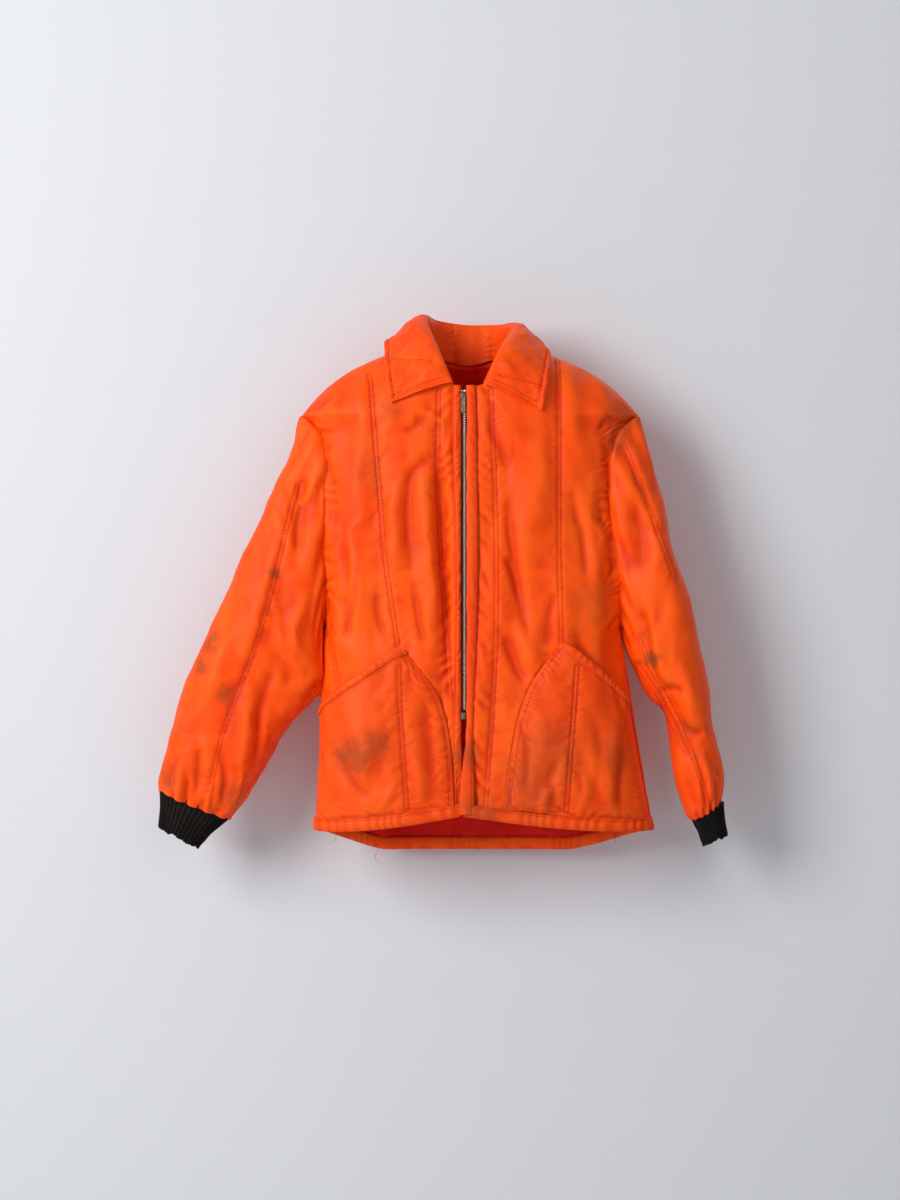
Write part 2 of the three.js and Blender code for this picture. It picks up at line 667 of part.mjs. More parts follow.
const stand = collarSheet(seamCurve, rollCurve, -0.96, 0.96, 0);
const standInner = -STAND_LAYER - GAP;
piece("collar_stand", slab(stand, 20, 2, 0, -STAND_LAYER), shellCloth);
piece("collar_stand_facing", slab(stand, 20, 2, standInner, standInner - STAND_LAYER), shellCloth);

// Three layers of the leaf, from the side that lies on the chest to the side that shows.
const leafLay = [
  { name: "undercollar", material: shellCloth },
  { name: "collar_interlining", material: interlining },
  { name: "collar_leaf", material: shellCloth },
];
const leaf = collarSheet(rollCurve, edgeCurve, -1, 1, LEAF_BULGE);
leafLay.forEach(({ name, material }, order) => {
  const inner = COLLAR_LIFT + order * (LEAF_LAYER + GAP);
  piece(name, slab(leaf, 26, 4, inner + LEAF_LAYER, inner), material);
});

export default jacket;
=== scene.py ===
import json
import math

import bpy
import numpy as np
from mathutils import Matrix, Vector
from mathutils.bvhtree import BVHTree


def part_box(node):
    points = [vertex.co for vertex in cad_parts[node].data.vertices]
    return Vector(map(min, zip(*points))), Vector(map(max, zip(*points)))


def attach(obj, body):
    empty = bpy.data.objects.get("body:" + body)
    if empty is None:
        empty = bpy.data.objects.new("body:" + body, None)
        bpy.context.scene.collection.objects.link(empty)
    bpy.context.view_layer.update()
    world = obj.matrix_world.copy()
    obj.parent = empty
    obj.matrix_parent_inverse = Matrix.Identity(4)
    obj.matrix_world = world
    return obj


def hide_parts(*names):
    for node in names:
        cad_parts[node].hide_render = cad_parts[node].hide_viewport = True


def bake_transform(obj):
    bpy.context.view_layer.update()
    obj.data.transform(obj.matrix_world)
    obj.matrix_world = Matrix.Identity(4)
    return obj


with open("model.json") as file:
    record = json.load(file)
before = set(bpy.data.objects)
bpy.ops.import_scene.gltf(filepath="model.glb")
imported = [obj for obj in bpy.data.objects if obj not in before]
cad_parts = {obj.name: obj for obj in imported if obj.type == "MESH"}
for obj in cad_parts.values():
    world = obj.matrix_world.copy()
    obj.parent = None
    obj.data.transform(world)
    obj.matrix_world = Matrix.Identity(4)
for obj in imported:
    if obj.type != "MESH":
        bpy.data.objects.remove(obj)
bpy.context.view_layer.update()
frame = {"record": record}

# A quilted blaze orange jacket, hanging as on a coat hanger. Shapes are worked out in millimetres in the
# frame's axes (+X the wearer's left, -Y the front, +Z up) and turned to metres when a mesh is made.
MM = 0.001


def span(node):
    """Lowest and highest corner of a CAD node, in millimetres."""
    low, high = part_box(node)
    return np.array(low) / MM, np.array(high) / MM


def joint_place(name):
    found = next(j for j in frame["record"]["behaviour"]["joints"] if j["name"] == name)
    return np.array(found["pos_m"]) / MM


# ---------- sizes taken from the frame ----------

SEAM = 0.1  # half the gap between the front and the back at a seam
TIP = {-1: -joint_place("right_sleeve_swing")[0], 1: joint_place("left_sleeve_swing")[0]}
TIP_Z = joint_place("left_sleeve_swing")[2]
HEM_HALF = {-1: -span("right_front_shell")[0][0] - 17, 1: span("left_front_shell")[1][0]}
FRONT_DEPTH = -span("left_front_shell")[0][1] - 0.6
BACK_DEPTH = span("back_shell")[1][1] - 0.6
BACK_HEM_Z = span("back_shell")[0][2]
SIDE_HEM_Z = span("left_front_shell")[0][2]
FRONT_HEM_Z = span("left_front_placket")[0][2]
ZIP_X = (span("zip_slider")[0][0] + span("zip_slider")[1][0]) / 2
ZIP_Y = (span("left_zip_tape")[0][1] + span("left_zip_tape")[1][1]) / 2
ZIP_TOP = span("left_zip_tape")[1][2]
ZIP_END = span("zip_retainer_box")[0][2]
NECK_HALF = 72.0
NECK_Z = 8.0
NECK_BACK_Z = -16.0
UNDERARM_Z = -390.0
QUILT = 8.6  # shell, wadding and lining together
HEM_BAND = 16.0


# ---------- curves, noise and folds ----------

def mix(a, b, t):
    return a + (b - a) * t


def smooth(value, low, high):
    """0 below low, 1 above high, and an S-curve between."""
    t = np.clip((value - low) / (high - low), 0, 1)
    return t * t * (3 - 2 * t)


def bell(distance, width):
    return np.exp(-((distance / width) ** 2))


def spline(points, t):
    """Catmull-Rom curve through evenly spaced points, for t from 0 to 1."""
    p = np.asarray(points, float)
    n = len(p) - 1
    t = np.clip(np.asarray(t, float), 0, 1) * n
    i = np.minimum(t.astype(int), n - 1)
    f = (t - i)[..., None]
    q = np.vstack([2 * p[:1] - p[1:2], p, 2 * p[-1:] - p[-2:-1]])
    a, b, c, d = (q[i + k] for k in range(4))
    return 0.5 * (2 * b + (c - a) * f + (2 * a - 5 * b + 4 * c - d) * f**2 + (3 * b - a - 3 * c + d) * f**3)


def level_curve(points, z):
    """First coordinate of a curve given as (value, z) points with falling z, read at heights z."""
    p = np.asarray(points, float)
    t = np.linspace(0, 1, 40 * len(p))
    fine = spline(p, t)
    return np.interp(-np.asarray(z), -fine[:, 1], fine[:, 0])


def ripple(a, b, length, seed, count=7):
    """Smooth random relief between about -1 and 1: a sum of waves near one length, in random directions."""
    rng = np.random.default_rng(seed)
    total = np.zeros(np.broadcast(a, b).shape)
    for _ in range(count):
        angle, phase = rng.uniform(0, 2 * math.pi, 2)
        k = 2 * math.pi / (length * rng.uniform(0.7, 1.5))
        total += np.sin(k * (a * math.cos(angle) + b * math.sin(angle)) + phase)
    return total / math.sqrt(count)


TINY = 1e-12


def to_path(x, z, path):
    """Signed distance to a path in the X-Z plane, positive on its +X side, and the length along it."""
    p = np.asarray(path, float)
    best = np.full(np.broadcast(x, z).shape, 1e9)
    signed, along = np.zeros_like(best), np.zeros_like(best)
    run = 0.0
    for (x0, z0), (x1, z1) in zip(p[:-1], p[1:]):
        dx, dz = x1 - x0, z1 - z0
        size = math.hypot(dx, dz)
        t = np.clip(((x - x0) * dx + (z - z0) * dz) / size**2, 0, 1)
        ox, oz = x - x0 - t * dx, z - z0 - t * dz
        d = np.hypot(ox, oz)
        nearer = d < best
        best = np.where(nearer, d, best)
        side = -np.sign(oz * dx - ox * dz + TINY) * np.sign(TINY - dz)
        signed = np.where(nearer, d * side, signed)
        along = np.where(nearer, run + t * size, along)
        run += size
    return signed, along


def fine_path(points, count=24):
    return spline(points, np.linspace(0, 1, count))


def folds(x, z, strokes):
    """Relief of soft folds: each is a path, a half-width and a height, which fades at both ends."""
    total = np.zeros(np.broadcast(x, z).shape)
    for points, width, height in strokes:
        path = fine_path(points, 12)
        distance, along = to_path(x, z, path)
        length = np.hypot(*np.diff(path, axis=0).T).sum()
        ends = smooth(along, 0, 0.3 * length) * (1 - smooth(along, 0.7 * length, length))
        total += height * bell(distance, width) * (0.25 + 0.75 * ends)
    return total


def quilting(x, z, lines, depth=2.4, reach=15.0, pucker=0.4, twin=5.5, seed=1):
    """Relief of sewn lines: the wadding sinks to each line, a double row of stitches has a low ridge between,
    and small slanted puckers cross the line, which fade away from it."""
    total = np.zeros(np.broadcast(x, z).shape)
    for number, line in enumerate(lines):
        distance, along = to_path(x, z, fine_path(line))
        d = np.abs(distance)
        rows = np.maximum(bell(distance - twin / 2, 1.7), bell(distance + twin / 2, 1.7))
        total -= depth * (0.62 * bell(d, reach) + 0.3 * bell(d, twin)) + 0.9 * rows
        rng = np.random.default_rng(seed * 31 + number)
        slant = rng.uniform(0.4, 0.8) * (1 if number % 2 else -1)
        phase = (along + slant * distance) / 15 + 1.1 * ripple(along, 0 * along, 60, seed + number)
        strength = 0.5 + 0.5 * ripple(along, distance, 45, seed + number + 50, 4)
        total += pucker * np.clip(strength, 0, 1.4) * np.sin(2 * math.pi * phase) * bell(d, 13) * smooth(d, 0, 4)
    return total


# ---------- meshes ----------



def normals_of(grid, around=False):
    """Unit normals of a grid of points, from its differences along both directions."""
    if around:
        du = np.roll(grid, -1, 1) - np.roll(grid, 1, 1)
    else:
        du = np.gradient(grid, axis=1)
    dv = np.gradient(grid, axis=0)
    n = np.cross(du, dv)
    return n / np.maximum(np.linalg.norm(n, axis=2, keepdims=True), 1e-9)


def grid_faces(rows, columns, around=False, flip=False, start=0):
    """Quads between neighbouring points of a grid; around joins the last column to the first."""
    i = np.arange(columns if around else columns - 1)
    j = np.arange(rows - 1)[:, None]
    a = j * columns + i
    b = j * columns + (i + 1) % columns
    quads = np.stack([a, b, b + columns, a + columns], -1).reshape(-1, 4) + start
    return quads[:, ::-1] if flip else quads


def rim_faces(outer, inner, flip=False):
    """Quads that join two equally long rows of point numbers."""
    quads = np.stack([outer[:-1], inner[:-1], inner[1:], outer[1:]], -1)
    return quads[:, ::-1] if flip else quads


def add_mesh(name, points, faces, material, body="jacket", slot="shell", smooth_shading=True):
    """Makes one object from points in millimetres and faces, riding on a body."""
    points = np.asarray(points, float).reshape(-1, 3)
    mesh = bpy.data.meshes.new(name)
    mesh.from_pydata([], [], [])
    sizes = np.array([len(f) for f in faces]) if isinstance(faces, list) else np.full(len(faces), len(faces[0]))
    flat = np.concatenate([np.asarray(f) for f in faces]) if isinstance(faces, list) else faces.ravel()
    mesh.vertices.add(len(points))
    mesh.vertices.foreach_set("co", (points * MM).astype(np.float32).ravel())
    mesh.loops.add(len(flat))
    mesh.loops.foreach_set("vertex_index", flat.astype(np.int32))
    mesh.polygons.add(len(sizes))
    mesh.polygons.foreach_set("loop_start", (np.cumsum(sizes) - sizes).astype(np.int32))
    mesh.polygons.foreach_set("use_smooth", np.full(len(sizes), smooth_shading))
    mesh.update(calc_edges=True)
    mesh.validate()
    piece = bpy.data.objects.new(name, mesh)
    bpy.context.scene.collection.objects.link(piece)
    mesh.materials.append(material)
    if body:
        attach(piece, body)
    return piece


def facing_out(points, faces):
    """Faces in the order that makes a closed mesh's volume positive."""
    p = points.reshape(-1, 3)
    a, b, c, d = (p[faces[:, k]] for k in range(4))
    size = (np.einsum("ij,ij->i", a, np.cross(b, c)) + np.einsum("ij,ij->i", a, np.cross(c, d))).sum()
    return faces if size > 0 else faces[:, ::-1]


def hollows(grid, n, around=False, passes=24):
    """How deep each point lies below its surroundings, in millimetres: the grid's average over about 12 mm,
    less the grid itself, measured along the normals. Crests are negative."""
    soft = grid.copy()
    for _ in range(passes):
        soft[1:-1] = (soft[:-2] + 2 * soft[1:-1] + soft[2:]) / 4
        if around:
            soft = (np.roll(soft, 1, 1) + 2 * soft + np.roll(soft, -1, 1)) / 4
        else:
            soft[:, 1:-1] = (soft[:, :-2] + 2 * soft[:, 1:-1] + soft[:, 2:]) / 4
    return np.einsum("ijk,ijk->ij", soft - grid, n)


def shade(piece, depth, scale=0.9):
    """Stores how far the outer grid of a slab lies below its surroundings as the attribute its material reads, from
    -1 to 1; the shell paints shade from it in the low places and a highlight on the crests.
    """
    values = np.zeros(len(piece.data.vertices), np.float32)
    values[:depth.size] = np.tanh(depth / scale).ravel()
    piece.data.attributes.new("painted_shade_and_highlight", "FLOAT", "POINT").data.foreach_set("value", values)


def slab(name, outer, inner, material, around=False, **rest):
    """A closed piece of cloth between two grids of points, with its rim closed."""
    rows, columns = outer.shape[:2]
    count = rows * columns
    number = np.arange(count).reshape(rows, columns)
    parts = [grid_faces(rows, columns, around), grid_faces(rows, columns, around, True, count)]
    top, foot = (np.append(r, r[0]) if around else r for r in (number[0], number[-1]))
    parts += [rim_faces(top, top + count), rim_faces(foot, foot + count, True)]
    if not around:
        parts += [rim_faces(number[:, 0], number[:, 0] + count, True)]
        parts += [rim_faces(number[:, -1], number[:, -1] + count)]
    points = np.concatenate([outer.reshape(-1, 3), inner.reshape(-1, 3)])
    faces = facing_out(points, np.concatenate(parts))
    return add_mesh(name, points, faces, material, **rest)


def rolled(rows, columns, thickness, lip=3):
    """Thickness of a slab whose edges are rolled: as asked in the middle, thin at the rim."""
    j = np.minimum(np.arange(rows), np.arange(rows)[::-1])[:, None]
    i = np.minimum(np.arange(columns), np.arange(columns)[::-1])
    edge = np.clip(np.minimum(j, i) / lip, 0, 1)
    return (0.25 + 0.75 * np.sqrt(1 - (1 - edge) ** 2))[..., None] * thickness


def resample(grid, rows, columns, around=False):
    """A grid read at more points by Catmull-Rom curves, first along its rows and then along its columns."""
    if around:
        grid = np.concatenate([grid, grid[:, :1]], axis=1)
    n = grid.shape[0]
    flat = spline(grid.reshape(n, -1), np.linspace(0, 1, rows)).reshape(rows, grid.shape[1], 3)
    turned = flat.transpose(1, 0, 2).reshape(grid.shape[1], -1)
    share = np.linspace(0, 1, columns + 1)[:-1] if around else np.linspace(0, 1, columns)
    return spline(turned, share).reshape(columns, rows, 3).transpose(1, 0, 2)


def settle(grid, pinned, grow, pressure, cap, around=False, frames=22):
    """Cloth simulation of a grid of points: it is held where pinned is 1, grows by a share so that it buckles
    as sewn wadding does, and moves no further than cap. Returns how far each point moved."""
    rows, columns = grid.shape[:2]
    mesh = bpy.data.meshes.new("settling")
    mesh.from_pydata((grid.reshape(-1, 3) * MM).tolist(), [], grid_faces(rows, columns, around).tolist())
    cloth = bpy.data.objects.new("settling", mesh)
    bpy.context.scene.collection.objects.link(cloth)
    held = cloth.vertex_groups.new(name="held")
    weights = np.clip(pinned, 0, 1).ravel()
    for step in np.unique(np.round(weights, 1)):
        if step > 0:
            held.add(np.flatnonzero(np.round(weights, 1) == step).tolist(), float(step), "REPLACE")
    modifier = cloth.modifiers.new("cloth", "CLOTH")
    s = modifier.settings
    s.quality = 4
    s.mass = 0.25
    s.tension_stiffness = s.compression_stiffness = 12
    s.shear_stiffness = 6
    s.bending_stiffness = 9
    s.air_damping = 4
    s.vertex_group_mass = "held"
    s.pin_stiffness = 1.0
    s.shrink_min = s.shrink_max = -grow
    s.use_pressure = pressure != 0
    s.uniform_pressure_force = pressure
    s.effector_weights.gravity = 0.15
    modifier.collision_settings.use_collision = False
    modifier.point_cache.frame_start = 1
    modifier.point_cache.frame_end = frames
    scene = bpy.context.scene
    for number in range(1, frames + 1):
        scene.frame_set(number)
    result = cloth.evaluated_get(bpy.context.evaluated_depsgraph_get()).data
    after = np.empty(rows * columns * 3, np.float32)
    result.vertices.foreach_get("co", after)
    moved = after.reshape(rows, columns, 3) / MM - grid
    bpy.data.objects.remove(cloth)
    bpy.data.meshes.remove(mesh)
    scene.frame_set(1)
    size = np.linalg.norm(moved, axis=2, keepdims=True)
    return moved * np.tanh(size / cap) * cap / np.maximum(size, 1e-9)


# ---------- shader expressions ----------

class Value:
    """A shader socket that takes part in Python arithmetic by adding Math nodes."""

    def __init__(self, maker, socket):
        self.maker, self.socket = maker, socket

    def _math(self, operation, *values):
        sockets = dict(enumerate(values))
        return self.maker.node("ShaderNodeMath", {"operation": operation}, sockets)

    def __add__(self, other):
        return self._math("ADD", self, other)

    def __sub__(self, other):
        return self._math("SUBTRACT", self, other)

    def __rsub__(self, other):
        return self._math("SUBTRACT", other, self)

    def __mul__(self, other):
        return self._math("MULTIPLY", self, other)

    def __pow__(self, other):
        return self._math("POWER", self, other)

    __radd__, __rmul__ = __add__, __mul__

    def at_least(self, other):
        return self._math("MAXIMUM", self, other)

    def at_most(self, other):
        return self._math("MINIMUM", self, other)


class Finish:
    """A material under construction."""

    def __init__(self, name, **constants):
        self.material = bpy.data.materials.new(name)
        self.material.use_nodes = True
        self.tree = self.material.node_tree
        self.shader = self.tree.nodes["Principled BSDF"]
        for socket, value in constants.items():
            self.shader.inputs[socket].default_value = value

    def node(self, kind, settings=None, sockets=None, output=0):
        """Adds a node: its settings first, then the value or link of each socket."""
        made_node = self.tree.nodes.new(kind)
        for key, value in (settings or {}).items():
            setattr(made_node, key, value)
        for key, value in (sockets or {}).items():
            if isinstance(value, Value):
                self.tree.links.new(value.socket, made_node.inputs[key])
            else:
                made_node.inputs[key].default_value = value
        return Value(self, made_node.outputs[output])

    def link(self, socket, value):
        self.tree.links.new(value.socket, self.shader.inputs[socket])

    def place(self):
        """Place in the frame, in millimetres."""
        where = self.node("ShaderNodeTexCoord", output="Object")
        return self.node("ShaderNodeVectorMath", {"operation": "SCALE"}, {0: where, "Scale": 1 / MM})

    def stretched(self, place, scale):
        return self.node("ShaderNodeVectorMath", {"operation": "MULTIPLY"}, {0: place, 1: scale})

    def noise(self, place, length, detail=3.0, roughness=0.55, distortion=0.0):
        """Noise whose features are about length millimetres, from 0 to 1."""
        sockets = {
            "Vector": place, "Scale": 1 / length, "Detail": detail, "Roughness": roughness,
            "Distortion": distortion,
        }
        return self.node("ShaderNodeTexNoise", None, sockets)

    def ramp(self, value, low, high):
        """0 below low and 1 above high, as an S-curve."""
        sockets = {"Value": value, "From Min": low, "From Max": high}
        return self.node("ShaderNodeMapRange", {"interpolation_type": "SMOOTHSTEP"}, sockets)

    def blend(self, share, first, second):
        """A colour between two colours."""
        mixer = self.tree.nodes.new("ShaderNodeMix")
        mixer.data_type = "RGBA"
        for socket, value in (("Factor_Float", share), ("A_Color", first), ("B_Color", second)):
            target = next(s for s in mixer.inputs if s.identifier == socket)
            if isinstance(value, Value):
                self.tree.links.new(value.socket, target)
            else:
                target.default_value = value
        result = next(s for s in mixer.outputs if s.identifier == "Result_Color")
        return Value(self, result)

    def spot(self, place, centre, radius, ragged):
        """1 in the middle of a stain, falling to 0 at its ragged edge."""
        distance = self.node("ShaderNodeVectorMath", {"operation": "DISTANCE"}, {0: place, 1: centre}, "Value")
        return 1 - self.ramp(distance * (1 / radius) + ragged, 0.15, 1.25)

    def relief(self, height, distance, strength):
        """Feeds a height, in shares of distance millimetres, to the shader's normal."""
        sockets = {"Height": height, "Distance": distance * MM, "Strength": strength}
        self.link("Normal", self.node("ShaderNodeBump", None, sockets, "Normal"))


def rgb(red, green, blue):
    """A colour given as it looks on screen, 0 to 255, as linear light."""
    def linear(c):
        c /= 255
        return c / 12.92 if c <= 0.04045 else ((c + 0.055) / 1.055) ** 2.4
    return (linear(red), linear(green), linear(blue), 1.0)


# Where the shell is soiled: centre in millimetres, radius, and how dark.
GRIME = [
    ((222, -30, -96), 30, 0.42), ((208, -40, -128), 28, 0.42), ((250, -40, -120), 22, 0.25),
    ((-268, -50, -312), 12, 0.75), ((-362, -40, -405), 26, 0.6), ((-372, -40, -440), 20, 0.6),
    ((-333, -50, -480), 16, 0.5), ((-415, -30, -596), 24, 0.45), ((-322, -40, -620), 26, 0.45),
    ((252, -50, -430), 17, 0.85), ((262, -50, -470), 12, 0.55), ((300, -40, -528), 22, 0.35),
    ((334, -30, -580), 16, 0.9), ((326, -30, -560), 22, 0.4), ((-160, -80, -560), 36, 0.45),
    ((-128, -80, -545), 26, 0.4), ((175, -70, -350), 36, 0.32), ((80, -80, -600), 60, 0.25),
    ((-2, -76, -560), 26, 0.35), ((-104, -70, -90), 14, 0.45), ((-140, -70, -170), 46, 0.22),
    ((110, -80, -560), 60, 0.25), ((20, -80, -640), 40, 0.35), ((205, -60, -560), 36, 0.22),
]


def shell_finish(name, fresh, deep, soiled=1.0):
    """Woven nylon: blaze orange that has faded unevenly, with a plain weave, fine crumples and old grime; painted
    shade darkens the low places of folds and painted highlight lightens their crests.
    """
    finish = Finish(name, **{"Sheen Weight": 0.02, "Sheen Roughness": 0.4, "Specular IOR Level": 0.13})
    finish.shader.inputs["Sheen Tint"].default_value = rgb(255, 140, 70)
    place = finish.place()
    fade = finish.ramp(finish.noise(place, 120, 4, 0.6), 0.3, 0.7)
    streak = finish.noise(finish.stretched(place, (1, 1, 0.18)), 26, 3, 0.55)
    colour = finish.blend(fade * 0.55 + finish.ramp(streak, 0.35, 0.75) * 0.35, deep, fresh)
    ragged = (finish.noise(place, 13, 4, 0.62, 0.4) - 0.5) * 1.9
    grime = None
    for centre, radius, strength in GRIME:
        spot = finish.spot(place, centre, radius, ragged) * (strength * soiled)
        grime = spot if grime is None else grime.at_least(spot)
    wear = finish.ramp(finish.noise(place, 55, 5, 0.7), 0.55, 0.8) * (0.28 * soiled)
    specks = finish.ramp(finish.noise(place, 5.5, 2, 0.6), 0.68, 0.8) * (0.3 * soiled)
    soil = grime.at_least(wear + specks * finish.ramp(finish.noise(place, 70, 2), 0.5, 0.65))
    # Painted shade: a deeper red where the cloth lies low in folds and sewn lines. Painted highlight: a lighter
    # orange on the crests.
    painted_shade_and_highlight = finish.node("ShaderNodeAttribute", {"attribute_name": "painted_shade_and_highlight"}, output="Fac")
    colour = finish.blend(finish.ramp(painted_shade_and_highlight, 0.02, 0.9) * 0.5, colour, rgb(190, 34, 0))
    colour = finish.blend(finish.ramp(painted_shade_and_highlight * -1.0, 0.15, 1.0) * 0.22, colour, rgb(250, 104, 22))
    colour = finish.blend(soil, colour, rgb(118, 62, 30))
    finish.link("Base Color", colour)
    weave = finish.noise(finish.stretched(place, (1, 1, 0.22)), 0.9, 1) + finish.noise(
        finish.stretched(place, (0.22, 1, 1)), 0.9, 1)
    crumple = finish.noise(place, 7, 4, 0.6, 0.6)
    finish.link("Roughness", (crumple * 0.16 + 0.42 + soil * 0.2).at_most(0.85))
    finish.relief(crumple * 0.75 + weave * 0.13, 1.0, 0.55)
    return finish.material


def lining_finish():
    """Deep red woven lining with long soft creases."""
    finish = Finish("lining_nylon", **{"Sheen Weight": 0.02, "Sheen Roughness": 0.5, "Specular IOR Level": 0.15})
    place = finish.place()
    cloud = finish.ramp(finish.noise(place, 60, 4), 0.3, 0.7)
    finish.link("Base Color", finish.blend(cloud, rgb(216, 14, 2), rgb(238, 26, 6)))
    crease = finish.noise(finish.stretched(place, (1, 1, 0.25)), 22, 4, 0.6)
    weave = finish.noise(finish.stretched(place, (1, 1, 0.2)), 0.8, 1)
    finish.link("Roughness", crease * 0.15 + 0.5)
    finish.relief(crease * 0.9 + weave * 0.08, 3.0, 0.5)
    return finish.material


def thread_finish(name, dark, light):
    """Twisted sewing thread."""
    finish = Finish(name, **{"Specular IOR Level": 0.3})
    place = finish.place()
    finish.link("Base Color", finish.blend(finish.noise(place, 6, 2), dark, light))
    twist = finish.noise(finish.stretched(place, (1, 1, 0.6)), 0.4, 1)
    finish.link("Roughness", twist * 0.2 + 0.55)
    finish.relief(twist, 0.15, 0.5)
    return finish.material


def knit_finish():
    """Dark olive-black wool rib with fuzz and faded patches."""
    finish = Finish("cuff_knit", **{"Sheen Weight": 0.03, "Sheen Roughness": 0.6, "Specular IOR Level": 0.12})
    place = finish.place()
    cloud = finish.ramp(finish.noise(place, 18, 4, 0.65), 0.3, 0.75)
    fuzz = finish.noise(place, 0.9, 3, 0.7)
    colour = finish.blend(cloud * 0.6 + fuzz * 0.4, rgb(7, 5, 4), rgb(30, 24, 18))
    finish.link("Base Color", colour)
    loops = finish.node("ShaderNodeTexWave", {"bands_direction": "Z"}, {
        "Vector": place, "Scale": 0.32, "Distortion": 2.0, "Detail": 1.0, "Detail Scale": 1.5})
    finish.link("Roughness", fuzz * 0.1 + 0.85)
    finish.relief(fuzz * 0.6 + loops * 0.5, 0.7, 0.8)
    return finish.material


def tape_finish():
    """Dark herringbone zip tape."""
    finish = Finish("zip_tape_weave", **{"Specular IOR Level": 0.25})
    place = finish.place()
    ribs = finish.node("ShaderNodeTexWave", {"bands_direction": "DIAGONAL"}, {"Vector": place, "Scale": 0.4})
    finish.link("Base Color", finish.blend(ribs * 0.5 + finish.noise(place, 9) * 0.5,
                                           rgb(24, 14, 10), rgb(58, 28, 18)))
    finish.link("Roughness", ribs * 0.1 + 0.8)
    finish.relief(ribs, 0.3, 0.6)
    return finish.material


def metal_finish(name, bright, dull, rough):
    """Worn zip metal: bright where it rubs, dull and spotted elsewhere."""
    finish = Finish(name)
    place = finish.place()
    tarnish = finish.ramp(finish.noise(place, 4, 4, 0.7), 0.35, 0.7)
    scratches = finish.noise(finish.stretched(place, (1, 1, 0.1)), 0.5, 2)
    finish.link("Base Color", finish.blend(tarnish, bright, dull))
    finish.link("Metallic", 1 - tarnish * 0.25)
    finish.link("Roughness", tarnish * 0.2 + scratches * 0.12 + rough)
    finish.relief(scratches + tarnish * 0.6, 0.12, 0.4)
    return finish.material


ORANGE = shell_finish("blaze_orange_nylon", rgb(246, 92, 12), rgb(238, 64, 2))
ORANGE_WORN = shell_finish("blaze_orange_worn", rgb(240, 86, 14), rgb(228, 62, 4), 1.3)
RED_LINING = lining_finish()
RED_THREAD = thread_finish("dark_red_thread", rgb(150, 20, 8), rgb(196, 36, 14))
KNIT = knit_finish()
TAPE = tape_finish()
TEETH = metal_finish("zip_teeth_metal", rgb(240, 236, 226), rgb(196, 184, 164), 0.3)
# The wearer's right row gets darker metal: painted shade for the shadow that the placket's fold casts over it.
TEETH_SHADED = metal_finish("zip_teeth_painted_shade", rgb(120, 104, 88), rgb(58, 44, 36), 0.4)
NICKEL = metal_finish("antique_nickel", rgb(150, 138, 118), rgb(84, 74, 60), 0.32)


# ---------- body shape ----------

def ridge_z(sign, s):
    """Height of the line over the shoulder at s millimetres from the middle."""
    share = np.clip((s - NECK_HALF) / (TIP[sign] - NECK_HALF), 0, 1)
    slope = NECK_Z + (TIP_Z - NECK_Z) * (0.6 * share + 0.4 * share**4)
    return slope + 18 * (1 - np.minimum(s / NECK_HALF, 1) ** 2)


def armhole(sign):
    """The armhole seam as (distance from the middle, depth, height) from the shoulder tip to the underarm."""
    depths = (3, 14, 25, 33, 39, 41, 37, 22, 4)
    if sign < 0:
        seam = [(231, -92), (221, -100), (209, -112), (201, -128), (197, -160), (198, -235), (200, -310),
                (202, -366), (203, UNDERARM_Z)]
    else:
        seam = [(238, -92), (226, -100), (213, -112), (204, -130), (199, -165), (204, -235), (211, -310),
                (213, -366), (213, UNDERARM_Z)]
    return np.array([(s, depth, z) for (s, z), depth in zip(seam, depths)])


def edge_of_body(sign, z):
    """Distance from the middle and depth of a panel's outer edge at a height."""
    seam = fine_path(armhole(sign), 90)
    s = np.interp(-z, -seam[:, 2], seam[:, 0])
    depth = np.interp(-z, -seam[:, 2], seam[:, 1])
    below = np.clip((UNDERARM_Z - z) / (UNDERARM_Z - SIDE_HEM_Z), 0, 1)
    side = mix(seam[-1, 0], HEM_HALF[sign], below ** (1.2 if sign > 0 else 1.6))
    under = z < UNDERARM_Z
    return np.where(under, side, s), np.where(under, 4 * (1 - smooth(below, 0, 0.2)), depth)


def depth_of_body(sign, across, z, ridge_at, depth, round_height, fullness):
    """How far a panel stands from the seam plane: a superellipse across, rounded over the shoulder."""
    below = np.clip((ridge_z(sign, ridge_at) - z) / round_height, 0, 1)
    over = np.sqrt(1 - (1 - below) ** 2)
    belly = depth * over * np.sqrt(np.clip(1 - across**fullness, 0, 1))
    return np.hypot(belly, edge_of_body(sign, z)[1] * across**3 * np.minimum(over * 1.5, 1))


def front_hem(across):
    return mix(FRONT_HEM_Z, SIDE_HEM_Z + 2, np.sin(across * math.pi / 2))


def back_hem(across):
    return mix(BACK_HEM_Z, SIDE_HEM_Z + 2, np.clip((across - 0.55) / 0.45, 0, 1) ** 1.3)


def front_depth(sign, s, z, start):
    """Depth of the smooth front at a distance from the middle and a height."""
    edge = edge_of_body(sign, z)[0]
    across = np.clip((s - start) / (edge - start), 0, 1)
    ridge_at = mix(start, TIP[sign], across)
    return depth_of_body(sign, across, z, ridge_at, FRONT_DEPTH, 88, 3.6)


# ---------- stitches ----------

